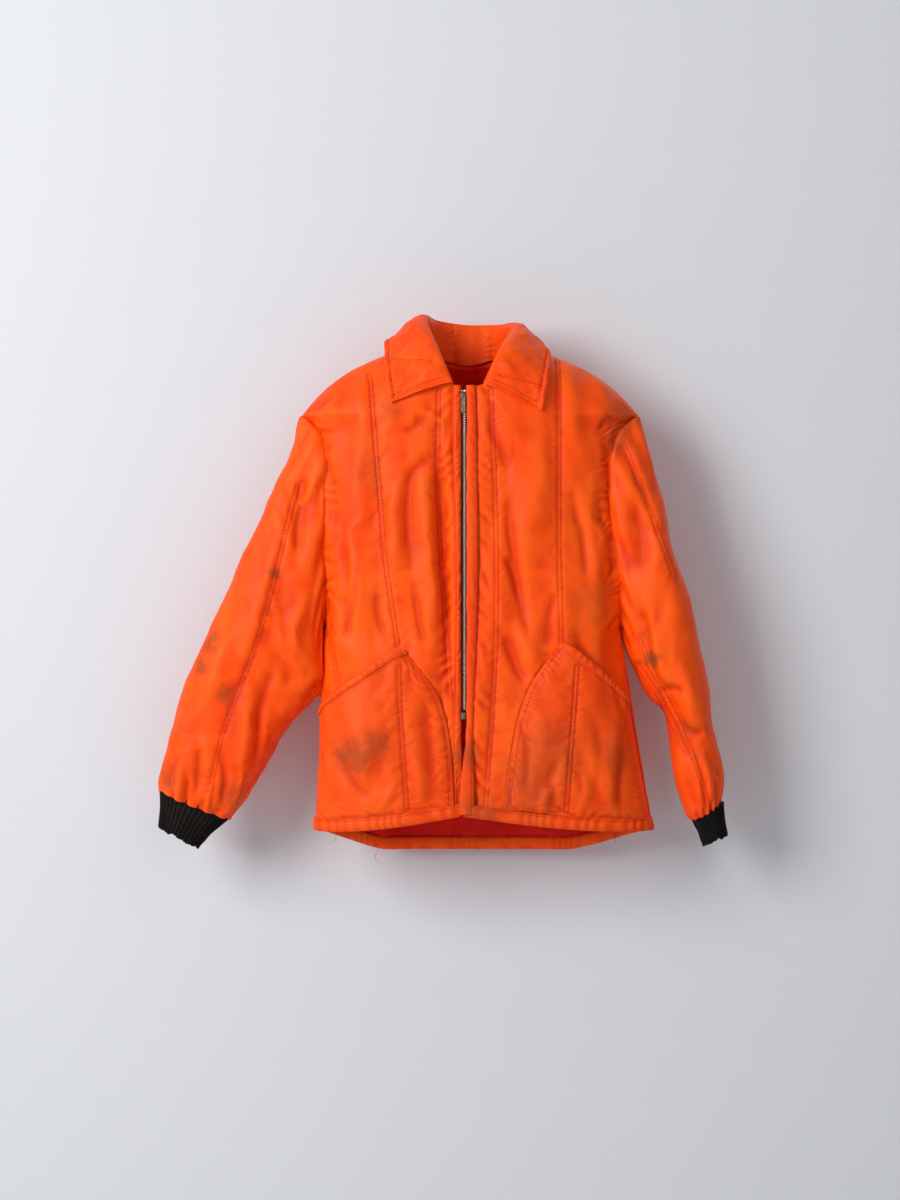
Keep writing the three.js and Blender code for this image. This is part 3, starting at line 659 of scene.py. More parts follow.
def stitch_row(name, seats, ups, body="jacket", length=3.6, pitch=4.6, radius=0.42, material=None):
    """Thread along a path: each stitch is a small six-sided spindle that dives into the cloth at both ends."""
    steps = np.linalg.norm(np.diff(seats, axis=0), axis=1)
    run = np.concatenate([[0], np.cumsum(steps)])
    places = np.arange(pitch / 2, run[-1] - pitch / 2, pitch)

    def read(values, at):
        return np.stack([np.interp(at, run, values[:, k]) for k in range(3)], -1)

    middle, up = read(seats, places), read(ups, places)
    along = read(seats, places + length / 2) - read(seats, places - length / 2)
    along /= np.linalg.norm(along, axis=1, keepdims=True)
    up /= np.linalg.norm(up, axis=1, keepdims=True)
    side = np.cross(along, up)
    t = np.linspace(-1, 1, 5)
    ring = np.linspace(0, 2 * math.pi, 6, endpoint=False)
    wide = radius * np.sqrt(np.clip(1.02 - t**4, 0.05, 1))
    lift = radius * (0.75 - 1.5 * t**4)
    a = (t * length / 2)[:, None] * np.ones(6)
    b = lift[:, None] + wide[:, None] * np.sin(ring)
    c = wide[:, None] * np.cos(ring)
    points = middle[:, None, None] + a[..., None] * along[:, None, None] + b[..., None] * up[:, None, None]
    points = points + c[..., None] * side[:, None, None]
    one = grid_faces(5, 6, True)
    caps = [[0, 1, 2, 3], [0, 3, 4, 5], [27, 26, 25, 24], [29, 28, 27, 24]]
    one = facing_out(points[0], np.concatenate([one, caps]))
    faces = (one[None] + 30 * np.arange(len(places))[:, None, None]).reshape(-1, 4)
    return add_mesh(name, points, faces, material or RED_THREAD, body)


def tree_of(*objects):
    """A search tree over the finished meshes of some pieces, in millimetres."""
    points, faces, start = [], [], 0
    for piece in objects:
        mesh = piece.data
        co = np.empty(len(mesh.vertices) * 3, np.float32)
        mesh.vertices.foreach_get("co", co)
        points += (co.reshape(-1, 3) / MM).tolist()
        faces += [[i + start for i in p.vertices] for p in mesh.polygons]
        start += len(mesh.vertices)
    return BVHTree.FromPolygons(points, faces)


def lay_on(tree, path, count=90, from_back=False):
    """Points and normals where a path in the X-Z plane meets the pieces of a tree, seen from the front."""
    seats, ups = [], []
    y, heading = (400, (0, -1, 0)) if from_back else (-400, (0, 1, 0))
    for x, z in fine_path(path, count):
        hit, normal, _, _ = tree.ray_cast(Vector((x, y, z)), Vector(heading))
        if hit is not None:
            seats.append(tuple(hit))
            ups.append(tuple(normal))
    return np.array(seats), np.array(ups)


def sew(name, tree, path, body="jacket", from_back=False, **look):
    seats, ups = lay_on(tree, path, from_back=from_back)
    if len(seats) > 3:
        return stitch_row(name, seats, ups, body, **look)


def twin_paths(path, apart=5.5):
    """Two paths beside a path in the X-Z plane."""
    fine = fine_path(path, 30)
    heading = np.gradient(fine, axis=0)
    heading /= np.linalg.norm(heading, axis=1, keepdims=True)
    beside = np.stack([-heading[:, 1], heading[:, 0]], -1) * apart / 2
    return fine + beside, fine - beside


# ---------- fronts ----------

# Sewn lines and folds of the two fronts, as (x, z) in millimetres.
PLACKET_SEAM = {
    -1: [(-18.5, -58), (-19, -130), (-15, -290), (-15.5, -420), (-17, -510), (-19, -575), (-20, -643)],
    1: [(8, -58), (9.8, -130), (11.4, -290), (9, -420), (5.5, -500), (3, -560), (2.5, -643)],
}
QUILT_LINES = {
    -1: [
        [(-136, -38), (-133, -62), (-123, -180), (-113, -295), (-96, -411)],
        [(-40, -62), (-41, -130), (-41, -200), (-37, -295), (-29, -404), (-24, -480)],
        [(-194, -350), (-191, -400), (-184, -440), (-177, -480)],
    ],
    1: [
        [(31, -62), (34, -130), (37, -200), (39, -295), (38, -400), (34, -484), (23, -643)],
        [(125, -12), (125, -100), (125, -200), (125, -295), (128, -408)],
    ],
}
FRONT_FOLDS = {
    -1: [
        ([(-44, -120), (-38, -200), (-33, -300), (-27, -390), (-24, -470)], 9, -6.5),
        ([(-62, -150), (-54, -250), (-47, -340), (-44, -430)], 15, 5.0),
        ([(-52, -155), (-76, -178), (-82, -225), (-80, -300)], 9, -3.2),
        ([(-96, -180), (-100, -240), (-96, -320)], 16, 2.6),
        ([(-157, -150), (-158, -230), (-160, -320), (-168, -400)], 18, 3.2),
        ([(-172, -250), (-166, -320), (-165, -400)], 7, -2.6),
        ([(-150, -310), (-158, -360), (-168, -410)], 6, -2.4),
        ([(-72, -330), (-66, -380), (-58, -420)], 7, -3.0),
        ([(-210, -88), (-196, -74), (-180, -66)], 5, -2.2),
        ([(-216, -96), (-205, -108), (-190, -112)], 4, 1.8),
        ([(-196, -140), (-188, -190), (-186, -260)], 8, -3.5),
        ([(-126, -330), (-124, -370), (-112, -405)], 6, -2.0),
        ([(-60, -95), (-72, -112), (-90, -122)], 8, -1.6),
        ([(-30, -110), (-44, -100), (-58, -92)], 5, 1.6),
    ],
    1: [
        ([(54, -190), (58, -260), (70, -330), (84, -420)], 8, -3.0),
        ([(48, -285), (62, -315), (70, -350)], 6, -2.6),
        ([(46, -392), (62, -430), (80, -472)], 8, -3.4),
        ([(60, -370), (78, -410), (96, -440)], 10, 2.4),
        ([(144, -205), (150, -235), (158, -262), (164, -330)], 7, -2.8),
        ([(180, -205), (186, -235), (196, -262), (204, -340)], 7, -3.2),
        ([(92, -150), (96, -230), (94, -310)], 20, 3.4),
        ([(165, -160), (170, -240), (178, -330), (186, -430)], 14, 2.6),
        ([(186, -120), (196, -170), (202, -230), (208, -300)], 8, -4.0),
        ([(28, -100), (44, -140), (52, -175)], 7, -1.8),
        ([(22, -66), (40, -78), (52, -96)], 5, 1.5),
        ([(205, -90), (190, -100), (180, -118)], 5, -2.4),
        ([(212, -100), (200, -112), (190, -130)], 4, 1.8),
        ([(120, -330), (112, -370), (108, -420)], 9, -2.0),
        ([(150, -400), (170, -440), (200, -470)], 8, -2.2),
    ],
}
POCKET_EDGE = {
    -1: [(-89, -417), (-64, -446), (-44, -474), (-30, -513), (-23, -560), (-20, -605), (-19, -640)],
    1: [(128.5, -409), (104, -436), (82, -470), (68, -510), (60, -550), (53, -595), (48, -640)],
}
POCKET_MOUTH_END = {-1: -505.0, 1: -492.0}


def panel_start(sign, z):
    """Distance from the middle where a front panel meets its placket."""
    return sign * level_curve(PLACKET_SEAM[sign], z) - 3


def front_grid(sign, rows, columns):
    """Smooth front panel: across it runs from the placket to the side, down it from the shoulder to the hem."""
    u = np.linspace(0, 1, columns)[None, :]
    v = np.linspace(0, 1, rows)[:, None]
    across = 0.35 * u + 0.65 * np.sin(u * math.pi / 2)
    foot_start = panel_start(sign, ZIP_TOP)
    at = mix(foot_start, TIP[sign], across)
    neckline = NECK_Z - (NECK_Z - ZIP_TOP - 4) * np.clip(1 - (at / NECK_HALF) ** 2, 0, 1) ** 0.75
    top = np.where(at < NECK_HALF, np.minimum(ridge_z(sign, at), neckline), ridge_z(sign, at))
    z = mix(top, front_hem(across), v**1.35)
    start = panel_start(sign, np.minimum(z, ZIP_TOP))
    s = mix(start, edge_of_body(sign, z)[0], across)
    depth = depth_of_body(sign, across, z, at, FRONT_DEPTH, 88, 3.6)
    return np.stack([sign * s, -SEAM - depth, z], -1), across


def pocket_cover(sign, x, z):
    """1 where the pocket lies over the front."""
    distance, _ = to_path(x, z, fine_path(POCKET_EDGE[sign]))
    peak = POCKET_EDGE[sign][0]
    share = np.clip((np.abs(x) - abs(peak[0])) / 110, 0, 1)
    mouth = mix(peak[1], POCKET_MOUTH_END[sign], share)
    outside = np.abs(x) > np.abs(level_curve(POCKET_EDGE[sign], z))
    return outside * smooth(mouth - z, 2, 14)


def front_relief(sign, x, z, across):
    quilt = quilting(x, z, QUILT_LINES[sign], seed=3 + sign)
    placket, along = to_path(x, z, fine_path(PLACKET_SEAM[sign]))
    near = np.abs(placket)
    phase = (along - near * 1.2) / 27 + 0.9 * ripple(along, 0 * along, 90, 11 + sign)
    uneven = 0.6 + 0.6 * ripple(along, near, 50, 13 + sign)
    strip = bell(near - 13, 9) * uneven
    hill = -2.2 * bell(near, 5) + 1.3 * np.sin(2 * math.pi * phase) * strip
    fold = 1.7 * folds(x, z, FRONT_FOLDS[sign]) * smooth(near, 1, 16)
    seam = -1.0 * bell(1 - across, 0.03) * (z > UNDERARM_Z)
    armhole_distance = (1 - across) * 200
    radial = np.sin(2 * math.pi * ((z + 0.35 * armhole_distance) / 31 + 0.8 * ripple(z, x, 50, 5)))
    gathers = 0.8 * radial * bell(armhole_distance - 9, 14) * (z > UNDERARM_Z)
    soft = 1.9 * ripple(x, z * 0.22, 52, 21 + sign) + 0.3 * ripple(x, z * 0.4, 26, 23 + sign)
    cover = pocket_cover(sign, x, z)
    tip = 1 - bell(np.hypot(x - sign * TIP[sign], z - TIP_Z), 24)
    tip = tip * smooth(ridge_z(sign, np.abs(x)) - z, -2, 9)
    return ((quilt + hill + fold + seam + gathers + soft) * (1 - cover) - 2.0 * cover) * tip


def front_panel(sign, side):
    coarse, across = front_grid(sign, 110, 46)
    x, z = coarse[..., 0], coarse[..., 2]
    coarse = coarse + normals_towards(coarse, (0, -1, 0.2)) * front_relief(sign, x, z, across)[..., None]
    pin = np.zeros(x.shape)
    for line in QUILT_LINES[sign] + [PLACKET_SEAM[sign]]:
        pin = np.maximum(pin, bell(to_path(x, z, fine_path(line))[0], 4.5))
    pin = np.maximum(pin, pocket_cover(sign, x, z))
    for rim in (pin[0], pin[-1], pin[:, 0], pin[:, -1]):
        rim[...] = 1
    moved = 0.45 * settle(coarse, pin, 0.012, 0.4, 5)
    rows, columns = 300, 150
    fine, across = front_grid(sign, rows, columns)
    x, z = fine[..., 0], fine[..., 2]
    n = normals_towards(fine, (0, -1, 0.2))
    fine = fine + n * front_relief(sign, x, z, across)[..., None] + resample(moved, rows, columns)
    n = smooth_rows(normals_towards(fine, (0, -1, 0.2)))
    tip = smooth(np.hypot(fine[..., 0] - sign * TIP[sign], fine[..., 2] - TIP_Z), 3, 34)[..., None]
    depth = rolled(rows, columns, QUILT - 1.5) * (0.25 + 0.75 * tip)
    piece = slab(f"{side}_front_quilt", fine, fine - n * depth, ORANGE)
    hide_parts(f"{side}_front_shell", f"{side}_front_batting")
    # Painted shade in the low places of the folds and sewn lines, painted highlight on their crests.
    shade(piece, hollows(fine, n))
    body_lining(f"{side}_front_liner", fine - n * depth, n, [f"{side}_front_lining"], 131 + sign)
    return piece


def normals_towards(grid, heading, around=False):
    """Unit normals of a grid, turned to the side of a heading."""
    n = normals_of(grid, around)
    flip = np.sign(np.einsum("ijk,k->ij", n, np.asarray(heading, float)).mean())
    return n * (flip or 1)


# ---------- back ----------

BACK_LINES = [
    [(-128, -30), (-122, -200), (-118, -400), (-120, -690)],
    [(0, -20), (0, -200), (0, -400), (0, -695)],
    [(128, -30), (124, -200), (122, -400), (126, -690)],
]
BACK_FOLDS = [
    ([(-60, -120), (-66, -250), (-58, -420)], 18, 4.0), ([(64, -140), (58, -260), (66, -400)], 20, 4.0),
    ([(-170, -140), (-160, -260), (-165, -400)], 12, -3.0),
    ([(175, -140), (168, -260), (172, -420)], 12, -3.0),
    ([(-30, -400), (-40, -500), (-34, -600)], 14, -2.5), ([(40, -420), (34, -520), (44, -620)], 12, -2.5),
    ([(-150, -450), (-156, -540), (-150, -640)], 14, 3.0), ([(160, -470), (168, -560), (160, -640)], 14, 3.0),
]


def back_grid(rows, columns):
    """Smooth back panel, from the wearer's right side to the left."""
    w = np.linspace(-1, 1, columns)[None, :] * np.ones((rows, 1))
    v = np.linspace(0, 1, rows)[:, None] * np.ones((1, columns))
    across = 0.35 * np.abs(w) + 0.65 * np.sin(np.abs(w) * math.pi / 2)
    result = np.zeros((rows, columns, 3))
    for sign in (-1, 1):
        at = across * TIP[sign]
        neckline = NECK_Z - (NECK_Z - NECK_BACK_Z) * np.clip(1 - (at / NECK_HALF) ** 2, 0, 1) ** 0.75
        top = np.where(at < NECK_HALF, np.minimum(ridge_z(sign, at), neckline), ridge_z(sign, at))
        z = mix(top, back_hem(across), v**1.35)
        s = across * edge_of_body(sign, z)[0]
        depth = depth_of_body(sign, across, z, at, BACK_DEPTH, 80, 3.6)
        mine = (w < 0) if sign < 0 else (w >= 0)
        result[mine] = np.stack([sign * s, SEAM + depth, z], -1)[mine]
    return result, across


def back_panel():
    def relief(x, z, across):
        quilt = quilting(x, z, BACK_LINES, seed=9)
        ridge = np.where(x < 0, ridge_z(-1, np.abs(x)), ridge_z(1, np.abs(x)))
        soft = 1.7 * ripple(x, z * 0.25, 60, 31) + 0.35 * ripple(x, z * 0.4, 26, 33)
        seam = -1.0 * bell(1 - across, 0.03) * (z > UNDERARM_Z)
        above_hem = smooth(z - back_hem(across), 6, 50)
        loose = (folds(x, z, BACK_FOLDS) + soft) * above_hem
        return (quilt + loose + seam) * smooth(ridge - z, -2, 9)

    def dressed(rows, columns):
        grid, across = back_grid(rows, columns)
        n = normals_towards(grid, (0, 1, 0.2))
        return grid, n, grid + n * relief(grid[..., 0], grid[..., 2], across)[..., None]

    _, _, coarse = dressed(110, 84)
    x, z = coarse[..., 0], coarse[..., 2]
    pin = np.zeros(x.shape)
    for line in BACK_LINES:
        pin = np.maximum(pin, bell(to_path(x, z, fine_path(line))[0], 4.5))
    for rim in (pin[0], pin[-1], pin[:, 0], pin[:, -1]):
        rim[...] = 1
    moved = 0.15 * settle(coarse, pin, 0.012, -0.4, 5)
    rows, columns = 250, 210
    _, n, fine = dressed(rows, columns)
    fine = fine + resample(moved, rows, columns)
    n = smooth_rows(normals_towards(fine, (0, 1, 0.2)))
    tips = [np.hypot(fine[..., 0] - k * TIP[k], fine[..., 2] - TIP_Z) for k in (-1, 1)]
    depth = rolled(rows, columns, QUILT - 1.5) * (0.25 + 0.75 * smooth(np.minimum(*tips), 3, 34)[..., None])
    piece = slab("back_quilt", fine, fine - n * depth, ORANGE)
    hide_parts("back_shell", "back_batting")
    # Painted shade in the low places of the folds and sewn lines, painted highlight on their crests.
    shade(piece, hollows(fine, n), 1.3)
    body_lining("back_liner", fine - n * depth, n, ["back_lining"], 141)
    return piece


# ---------- linings ----------

def body_lining(name, inside, n, nodes, seed):
    """A thin sheet over the inside of a panel, which stands off it in long soft folds."""
    rows = np.linspace(1, inside.shape[0] - 2, inside.shape[0] // 3).astype(int)
    columns = np.linspace(1, inside.shape[1] - 2, inside.shape[1] // 2).astype(int)
    seat, up = inside[rows][:, columns], n[rows][:, columns]
    x, z = seat[..., 0], seat[..., 2]
    soft = np.clip(1.3 * ripple(x, z * 0.3, 50, seed) + 0.4 * ripple(x, z, 18, seed + 1), -0.5, 2.5)
    # The lower edge is held flat in the hem.
    stand = 1.0 + soft * np.linspace(1, 0, len(rows))[:, None] ** 0.3
    outer = seat - up * stand[..., None]
    piece = slab(name, outer, outer - up * 0.9, RED_LINING, slot="lining")
    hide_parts(*nodes)
    lay_flat(outer)


def lay_flat(grid, around=False):
    """Does nothing with the grid but join its first column to the end of a local copy when around is set; it returns
    nothing.
    """
    if around:
        grid = np.concatenate([grid, grid[:, :1]], axis=1)


# ---------- hem bands ----------

def hem_band(name, sign_grid, heading, node):
    """A folded band over the hem: a rounded roll with puckers across it, outside the panel's last stretch."""
    n = normals_towards(sign_grid, heading)
    rows, columns = sign_grid.shape[:2]
    v = np.linspace(0, 1, rows)[:, None]
    run = np.concatenate([[0], np.cumsum(np.linalg.norm(np.diff(sign_grid[-1], axis=0), axis=1))])[None, :]
    pucker = np.sin(2 * math.pi * ((run + 5 * v) / 17 + 0.8 * ripple(run, 0 * run, 90, 77)))
    ends = smooth(np.minimum(run, run[:, -1:] - run), 0, 9)
    height = 2.2 * np.sin(math.pi * np.clip(v * 1.05, 0, 1)) ** 0.6 + 0.8 * pucker * np.sin(math.pi * v)
    outer = sign_grid + n * (height * (0.2 + 0.8 * ends) + 1.6)[..., None]
    piece = slab(name, outer, sign_grid - n * 0.8, ORANGE_WORN)
    # Painted shade along the band's edges and in the puckers' valleys, painted highlight over its crown and the
    # puckers' ridges.
    shade(piece, 0.5 - 0.7 * pucker * np.ones_like(v) - 0.8 * np.sin(math.pi * v))
    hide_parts(node)
    return piece


def hem_stretch(point, columns, reach=HEM_BAND, rows=12):
    """The last stretch of a panel above its hem, as a grid."""
    u = np.linspace(0, 1, columns)[None, :] * np.ones((rows, 1))
    v = np.linspace(0, 1, rows)[:, None] * np.ones((1, columns))
    return point(u, reach * (1 - v) - 2 * v)


def front_stretch(sign):
    def point(u, above):
        across = (0.35 * u + 0.65 * np.sin(u * math.pi / 2)) * 0.998
        z = front_hem(across) + above
        start = panel_start(sign, z) - 6
        s = mix(start, edge_of_body(sign, z)[0], across)
        depth = depth_of_body(sign, across, z, mix(start, TIP[sign], across), FRONT_DEPTH, 88, 3.6)
        return np.stack([sign * s, -SEAM - depth, z], -1)
    return hem_stretch(point, 150)


def back_stretch():
    def point(u, above):
        w = (u * 2 - 1) * 0.998
        across = 0.35 * np.abs(w) + 0.65 * np.sin(np.abs(w) * math.pi / 2)
        z = back_hem(across) + above
        out = np.zeros(u.shape + (3,))
        for sign in (-1, 1):
            s = across * edge_of_body(sign, z)[0]
            depth = depth_of_body(sign, across, z, across * TIP[sign], BACK_DEPTH, 80, 3.6)
            mine = (w < 0) if sign < 0 else (w >= 0)
            out[mine] = np.stack([sign * s, SEAM + depth, z], -1)[mine]
        return out
    return hem_stretch(point, 240)


def back_hem_facing():
    """The hem turned up inside the back, over the end of the lining, with its row of stitches."""
    stretch = back_stretch()
    rows, columns = stretch.shape[:2]
    n = smooth_rows(normals_towards(stretch, (0, 1, 0)))
    v = np.linspace(0, 1, rows)[:, None] * np.ones((1, columns))
    run = stretch[..., 0]
    pucker = 0.7 * np.sin(2 * math.pi * ((run + 4 * v) / 23 + 0.8 * ripple(run, 0 * run, 90, 79)))
    height = QUILT + 2.6 + (2.0 + pucker) * np.sin(math.pi * v) ** 0.6
    face = stretch - n * height[..., None]
    piece = slab("back_hem_turning", face, stretch - n * (QUILT - 0.5), ORANGE)
    # Painted shade along the turning's edges and in the puckers' valleys, painted highlight over its crown and the
    # puckers' ridges.
    shade(piece, 0.5 - 0.7 * pucker - 0.8 * np.sin(math.pi * v))
    stitch_row("back_hem_turning_stitches", face[1, 3:-3] - n[1, 3:-3] * 0.1, -n[1, 3:-3])


# ---------- plackets ----------

def placket(sign, side):
    """Rolled strip beside the zip: its fold edge, its round face with slanted puckers, and its sewn edge."""
    rows, columns = 420, 22
    z = np.linspace(ZIP_TOP + 6, FRONT_HEM_Z + 1, rows)[:, None] * np.ones((1, columns))
    t = np.linspace(0, 1, columns)[None, :] * np.ones((rows, 1))
    below = smooth(-z, -ZIP_END, -ZIP_END + 110)
    if sign < 0:
        fold = ZIP_X - 2.8 + 2.0 * below
        tuck = 5.0 * below
    else:
        fold = ZIP_X + 4.5 - 9.0 * below
        tuck = -2.5 * below
    sewn = level_curve(PLACKET_SEAM[sign], z) + sign * (2.5 + 3.5 * below)
    edge_wave = 0.5 * ripple(z, 0 * z, 26, 61 + sign)
    x = mix(fold + edge_wave * (1 - t), sewn, t)
    phase = (z + 14 * t) / 17 + 0.9 * ripple(z, 0 * z, 60, 41 + sign)
    roll = 5.2 * np.sqrt(np.clip(np.sin(math.pi * np.clip(0.06 + 0.9 * t, 0, 1)), 0, 1))
    pucker = 0.9 * np.sin(2 * math.pi * phase) * np.sin(math.pi * t) * (0.6 + 0.4 * ripple(z, t * 20, 40, 43))
    y = -FRONT_DEPTH + 2.2 - roll - pucker + tuck
    outer = np.stack([x, y, z], -1)
    under = ZIP_Y - 1.2 - 2.2 * (1 - smooth(t, 0.12, 0.3))
    inner = np.stack([mix(x, (fold + sewn) / 2, 0.08), under + tuck * 0.6, z], -1)
    piece = slab(f"{side}_placket_roll", outer, inner, ORANGE_WORN)
    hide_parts(f"{side}_front_placket")
    return piece


def fly_facing(sign, side):
    """The strip of lining behind the tape."""
    low, high = span(f"{side}_fly_facing")
    rows, columns = 120, 8
    z = np.linspace(high[2], low[2], rows)[:, None] * np.ones((1, columns))
    x = np.linspace(low[0], high[0], columns)[None, :] * np.ones((rows, 1))
    y = low[1] + 0.3 + 0.25 * ripple(x, z, 30, 91)
    outer = np.stack([x, y, z], -1)
    piece = slab(f"{side}_fly_strip", outer, outer + np.array([0, 1.0, 0]), RED_LINING, slot="lining")
    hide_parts(f"{side}_fly_facing")
    return piece


# ---------- pockets ----------

def pocket_grid(sign, rows, columns):
    """Pocket on the front: across it runs from its curved inner edge to the side, down from its mouth to the hem."""
    u = np.linspace(0, 1, columns)[None, :] * np.ones((rows, 1))
    v = np.linspace(0, 1, rows)[:, None] * np.ones((1, columns))
    edge = np.array(POCKET_EDGE[sign], float)
    inner = spline(edge, v * 0.985)
    end = POCKET_MOUTH_END[sign]
    start = np.abs(inner[..., 0])
    side_share = 0.985 if sign < 0 else 0.955
    z_side = mix(end, SIDE_HEM_Z + HEM_BAND, v)
    base = panel_start(sign, z_side)
    outer_s = mix(base, edge_of_body(sign, z_side)[0], side_share)
    s = mix(start, outer_s, 0.55 * u + 0.45 * np.sin(u * math.pi / 2))
    across = np.clip((s - base) / (edge_of_body(sign, z_side)[0] - base), 0, 1)
    z_mouth = mix(edge[0, 1], end, u)
    z_hem = front_hem(across) + HEM_BAND - 1
    z_inner = inner[..., 1]
    z = mix(mix(z_mouth, z_hem, v), z_inner, (1 - u) ** 6)
    return u, v, s, z


POCKET_LINES = {
    -1: [[(-94, -440), (-92, -500), (-87, -580), (-82, -652)]],
    1: [[(147, -440), (143, -500), (138, -570), (133, -650)]],
}
POCKET_FOLDS = {
    -1: [
        ([(-150, -500), (-140, -545), (-128, -590)], 18, 2.6),
        ([(-60, -480), (-52, -540), (-46, -610)], 10, -2.4),
        ([(-170, -560), (-150, -600), (-120, -630)], 9, -2.0),
        ([(-70, -560), (-64, -600), (-66, -640)], 8, 1.8),
        ([(-118, -470), (-112, -520), (-110, -560)], 8, -1.6),
        ([(-190, -530), (-186, -580), (-192, -630)], 8, 2.0),
        ([(-100, -600), (-112, -625), (-128, -640)], 5, 1.5),
    ],
    1: [
        ([(196, -468), (206, -500), (222, -535)], 6, -2.8),
        ([(168, -500), (176, -560), (172, -620)], 8, -2.4),
        ([(112, -600), (104, -622), (100, -645)], 7, 2.4), ([(120, -560), (112, -600), (118, -640)], 8, -2.6),
        ([(190, -520), (196, -570), (190, -630)], 9, 2.6), ([(92, -480), (98, -530), (90, -590)], 12, 2.6),
        ([(74, -520), (80, -570), (76, -620)], 6, -1.6), ([(155, -580), (160, -610), (150, -640)], 6, 1.8),
        ([(208, -560), (204, -600), (208, -640)], 7, -2.0),
    ],
}


def pocket(sign, side):
    def dressed(rows, columns):
        u, v, s, z = pocket_grid(sign, rows, columns)
        depth = front_depth(sign, s, z, panel_start(sign, z))
        x = sign * s
        grid = np.stack([x, -SEAM - depth, z], -1)
        n = normals_towards(grid, (0, -1, 0))
        crown = np.sin(math.pi * u)
        stand = 3.4 + 9.5 * crown**0.7 * (1 - v**2) ** 0.8 + 3.0 * crown * (v * (1 - v)) * 3
        relief = quilting(x, z, POCKET_LINES[sign], depth=1.6, pucker=0.3, seed=15 + sign)
        relief += 1.3 * folds(x, z, POCKET_FOLDS[sign])
        rim = np.minimum(np.minimum(u, 1 - u) * 120, (1 - v) * 180)
        puckers = 0.45 * np.sin(2 * math.pi * ((z + x) / 18 + 0.9 * ripple(x, z, 50, 71))) * bell(rim - 6, 7)
        soft = 1.1 * ripple(x, z * 0.5, 40, 17 + sign)
        lift = stand + relief + soft + puckers - 2.4 * bell(rim, 5)
        return grid + n * np.maximum(lift, 1.5)[..., None], u, v

    coarse, u, v = dressed(60, 44)
    pin = np.maximum(bell(u, 0.03), bell(1 - u, 0.03))
    pin = np.maximum(pin, bell(1 - v, 0.02))
    x, z = coarse[..., 0], coarse[..., 2]
    pin = np.maximum(pin, bell(to_path(x, z, fine_path(POCKET_LINES[sign][0]))[0], 4))
    pin[0] = 0.8
    moved = 0.6 * settle(coarse, pin, 0.012, 0.4, 4)
    rows, columns = 170, 130
    fine, u, v = dressed(rows, columns)
    fine = fine + resample(moved, rows, columns)
    n = smooth_rows(normals_towards(fine, (0, -1, 0)))
    piece = slab(f"{side}_pocket_patch", fine, fine - n * rolled(rows, columns, 2.7), ORANGE_WORN)
    # Painted shade in the low places of the folds and sewn lines, painted highlight on their crests.
    shade(piece, hollows(fine, n), 0.7)
    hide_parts(f"{side}_pocket")

    # The binding along the mouth: a narrow roll over the pocket's top edge.
    width = 9.0
    rows_b, columns_b = 16, 150
    share = np.linspace(0, 1, rows_b)[:, None] * np.ones((1, columns_b))
    place = np.linspace(0.0, 1.0, columns_b)[None, :] * np.ones((rows_b, 1))
    drop = share * width / 225
    fi = place * (columns - 1)
    fj = drop * (rows - 1)
    i0, j0 = np.minimum(fi.astype(int), columns - 2), np.minimum(fj.astype(int), rows - 2)
    a, b = (fi - i0)[..., None], (fj - j0)[..., None]

    def read(values):
        top = values[j0, i0] * (1 - a) + values[j0, i0 + 1] * a
        foot = values[j0 + 1, i0] * (1 - a) + values[j0 + 1, i0 + 1] * a
        return top * (1 - b) + foot * b

    seat, up = read(fine), read(n)
    run = place * 130
    pucker = 0.5 * np.sin(2 * math.pi * (run / 11 + 0.6 * ripple(run, 0 * run, 50, 81)))
    height = 0.9 + (2.2 + pucker) * np.sqrt(np.clip(np.sin(math.pi * np.clip(share * 1.02, 0, 1)), 0, 1))
    lifted = seat + up * height[..., None]
    lifted[..., 2] += 1.5 * (1 - share)
    band = slab(f"{side}_pocket_binding", lifted, seat + up * 0.3, ORANGE_WORN)
    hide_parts(f"{side}_pocket_facing")
    return piece, band, fine


# ---------- sleeves ----------

SLEEVE_OUTER = {
    -1: [(231, -92), (248, -138), (279, -206), (308, -268), (337, -327), (365, -388), (388, -440), (408, -497),
         (422, -545), (431, -590), (432, -614)],
    1: [(239, -94), (258, -160), (278, -229), (295, -297), (315, -353), (327, -416), (338, -473), (347, -524),
        (355, -569), (359, -604), (354, -634)],
}
SLEEVE_INNER = {
    -1: [(203, -392), (200, -440), (200, -473), (216, -491), (231, -507), (247, -527), (262, -547), (282, -584),
         (302, -621), (320, -645), (330, -656)],
    1: [(217, -392), (225, -425), (237, -459), (253, -486), (271, -504), (278, -526), (286, -563), (290, -600),
        (295, -633), (302, -648), (310, -656)],
}
SLEEVE_DEPTH = {-1: [42, 50, 56, 57, 57, 55, 53, 50, 46, 42, 35], 1: [42, 52, 58, 60, 60, 58, 55, 52, 49, 45, 37]}
SLEEVE_LINES = {
    -1: [
        [(-236, -190), (-250, -250), (-266, -320), (-288, -400), (-318, -480), (-340, -540), (-356, -615)],
        [(-242, -520), (-268, -556), (-296, -602), (-326, -650)],
        [(-228, -500), (-222, -486), (-205, -462)],
    ],
    1: [
        [(216, -136), (234, -180), (252, -225), (270, -280), (284, -320)],
        [(236, -400), (252, -440), (282, -500), (304, -550), (322, -600), (334, -640)],
        [(236, -440), (262, -478), (284, -520), (300, -560)],
    ],
}
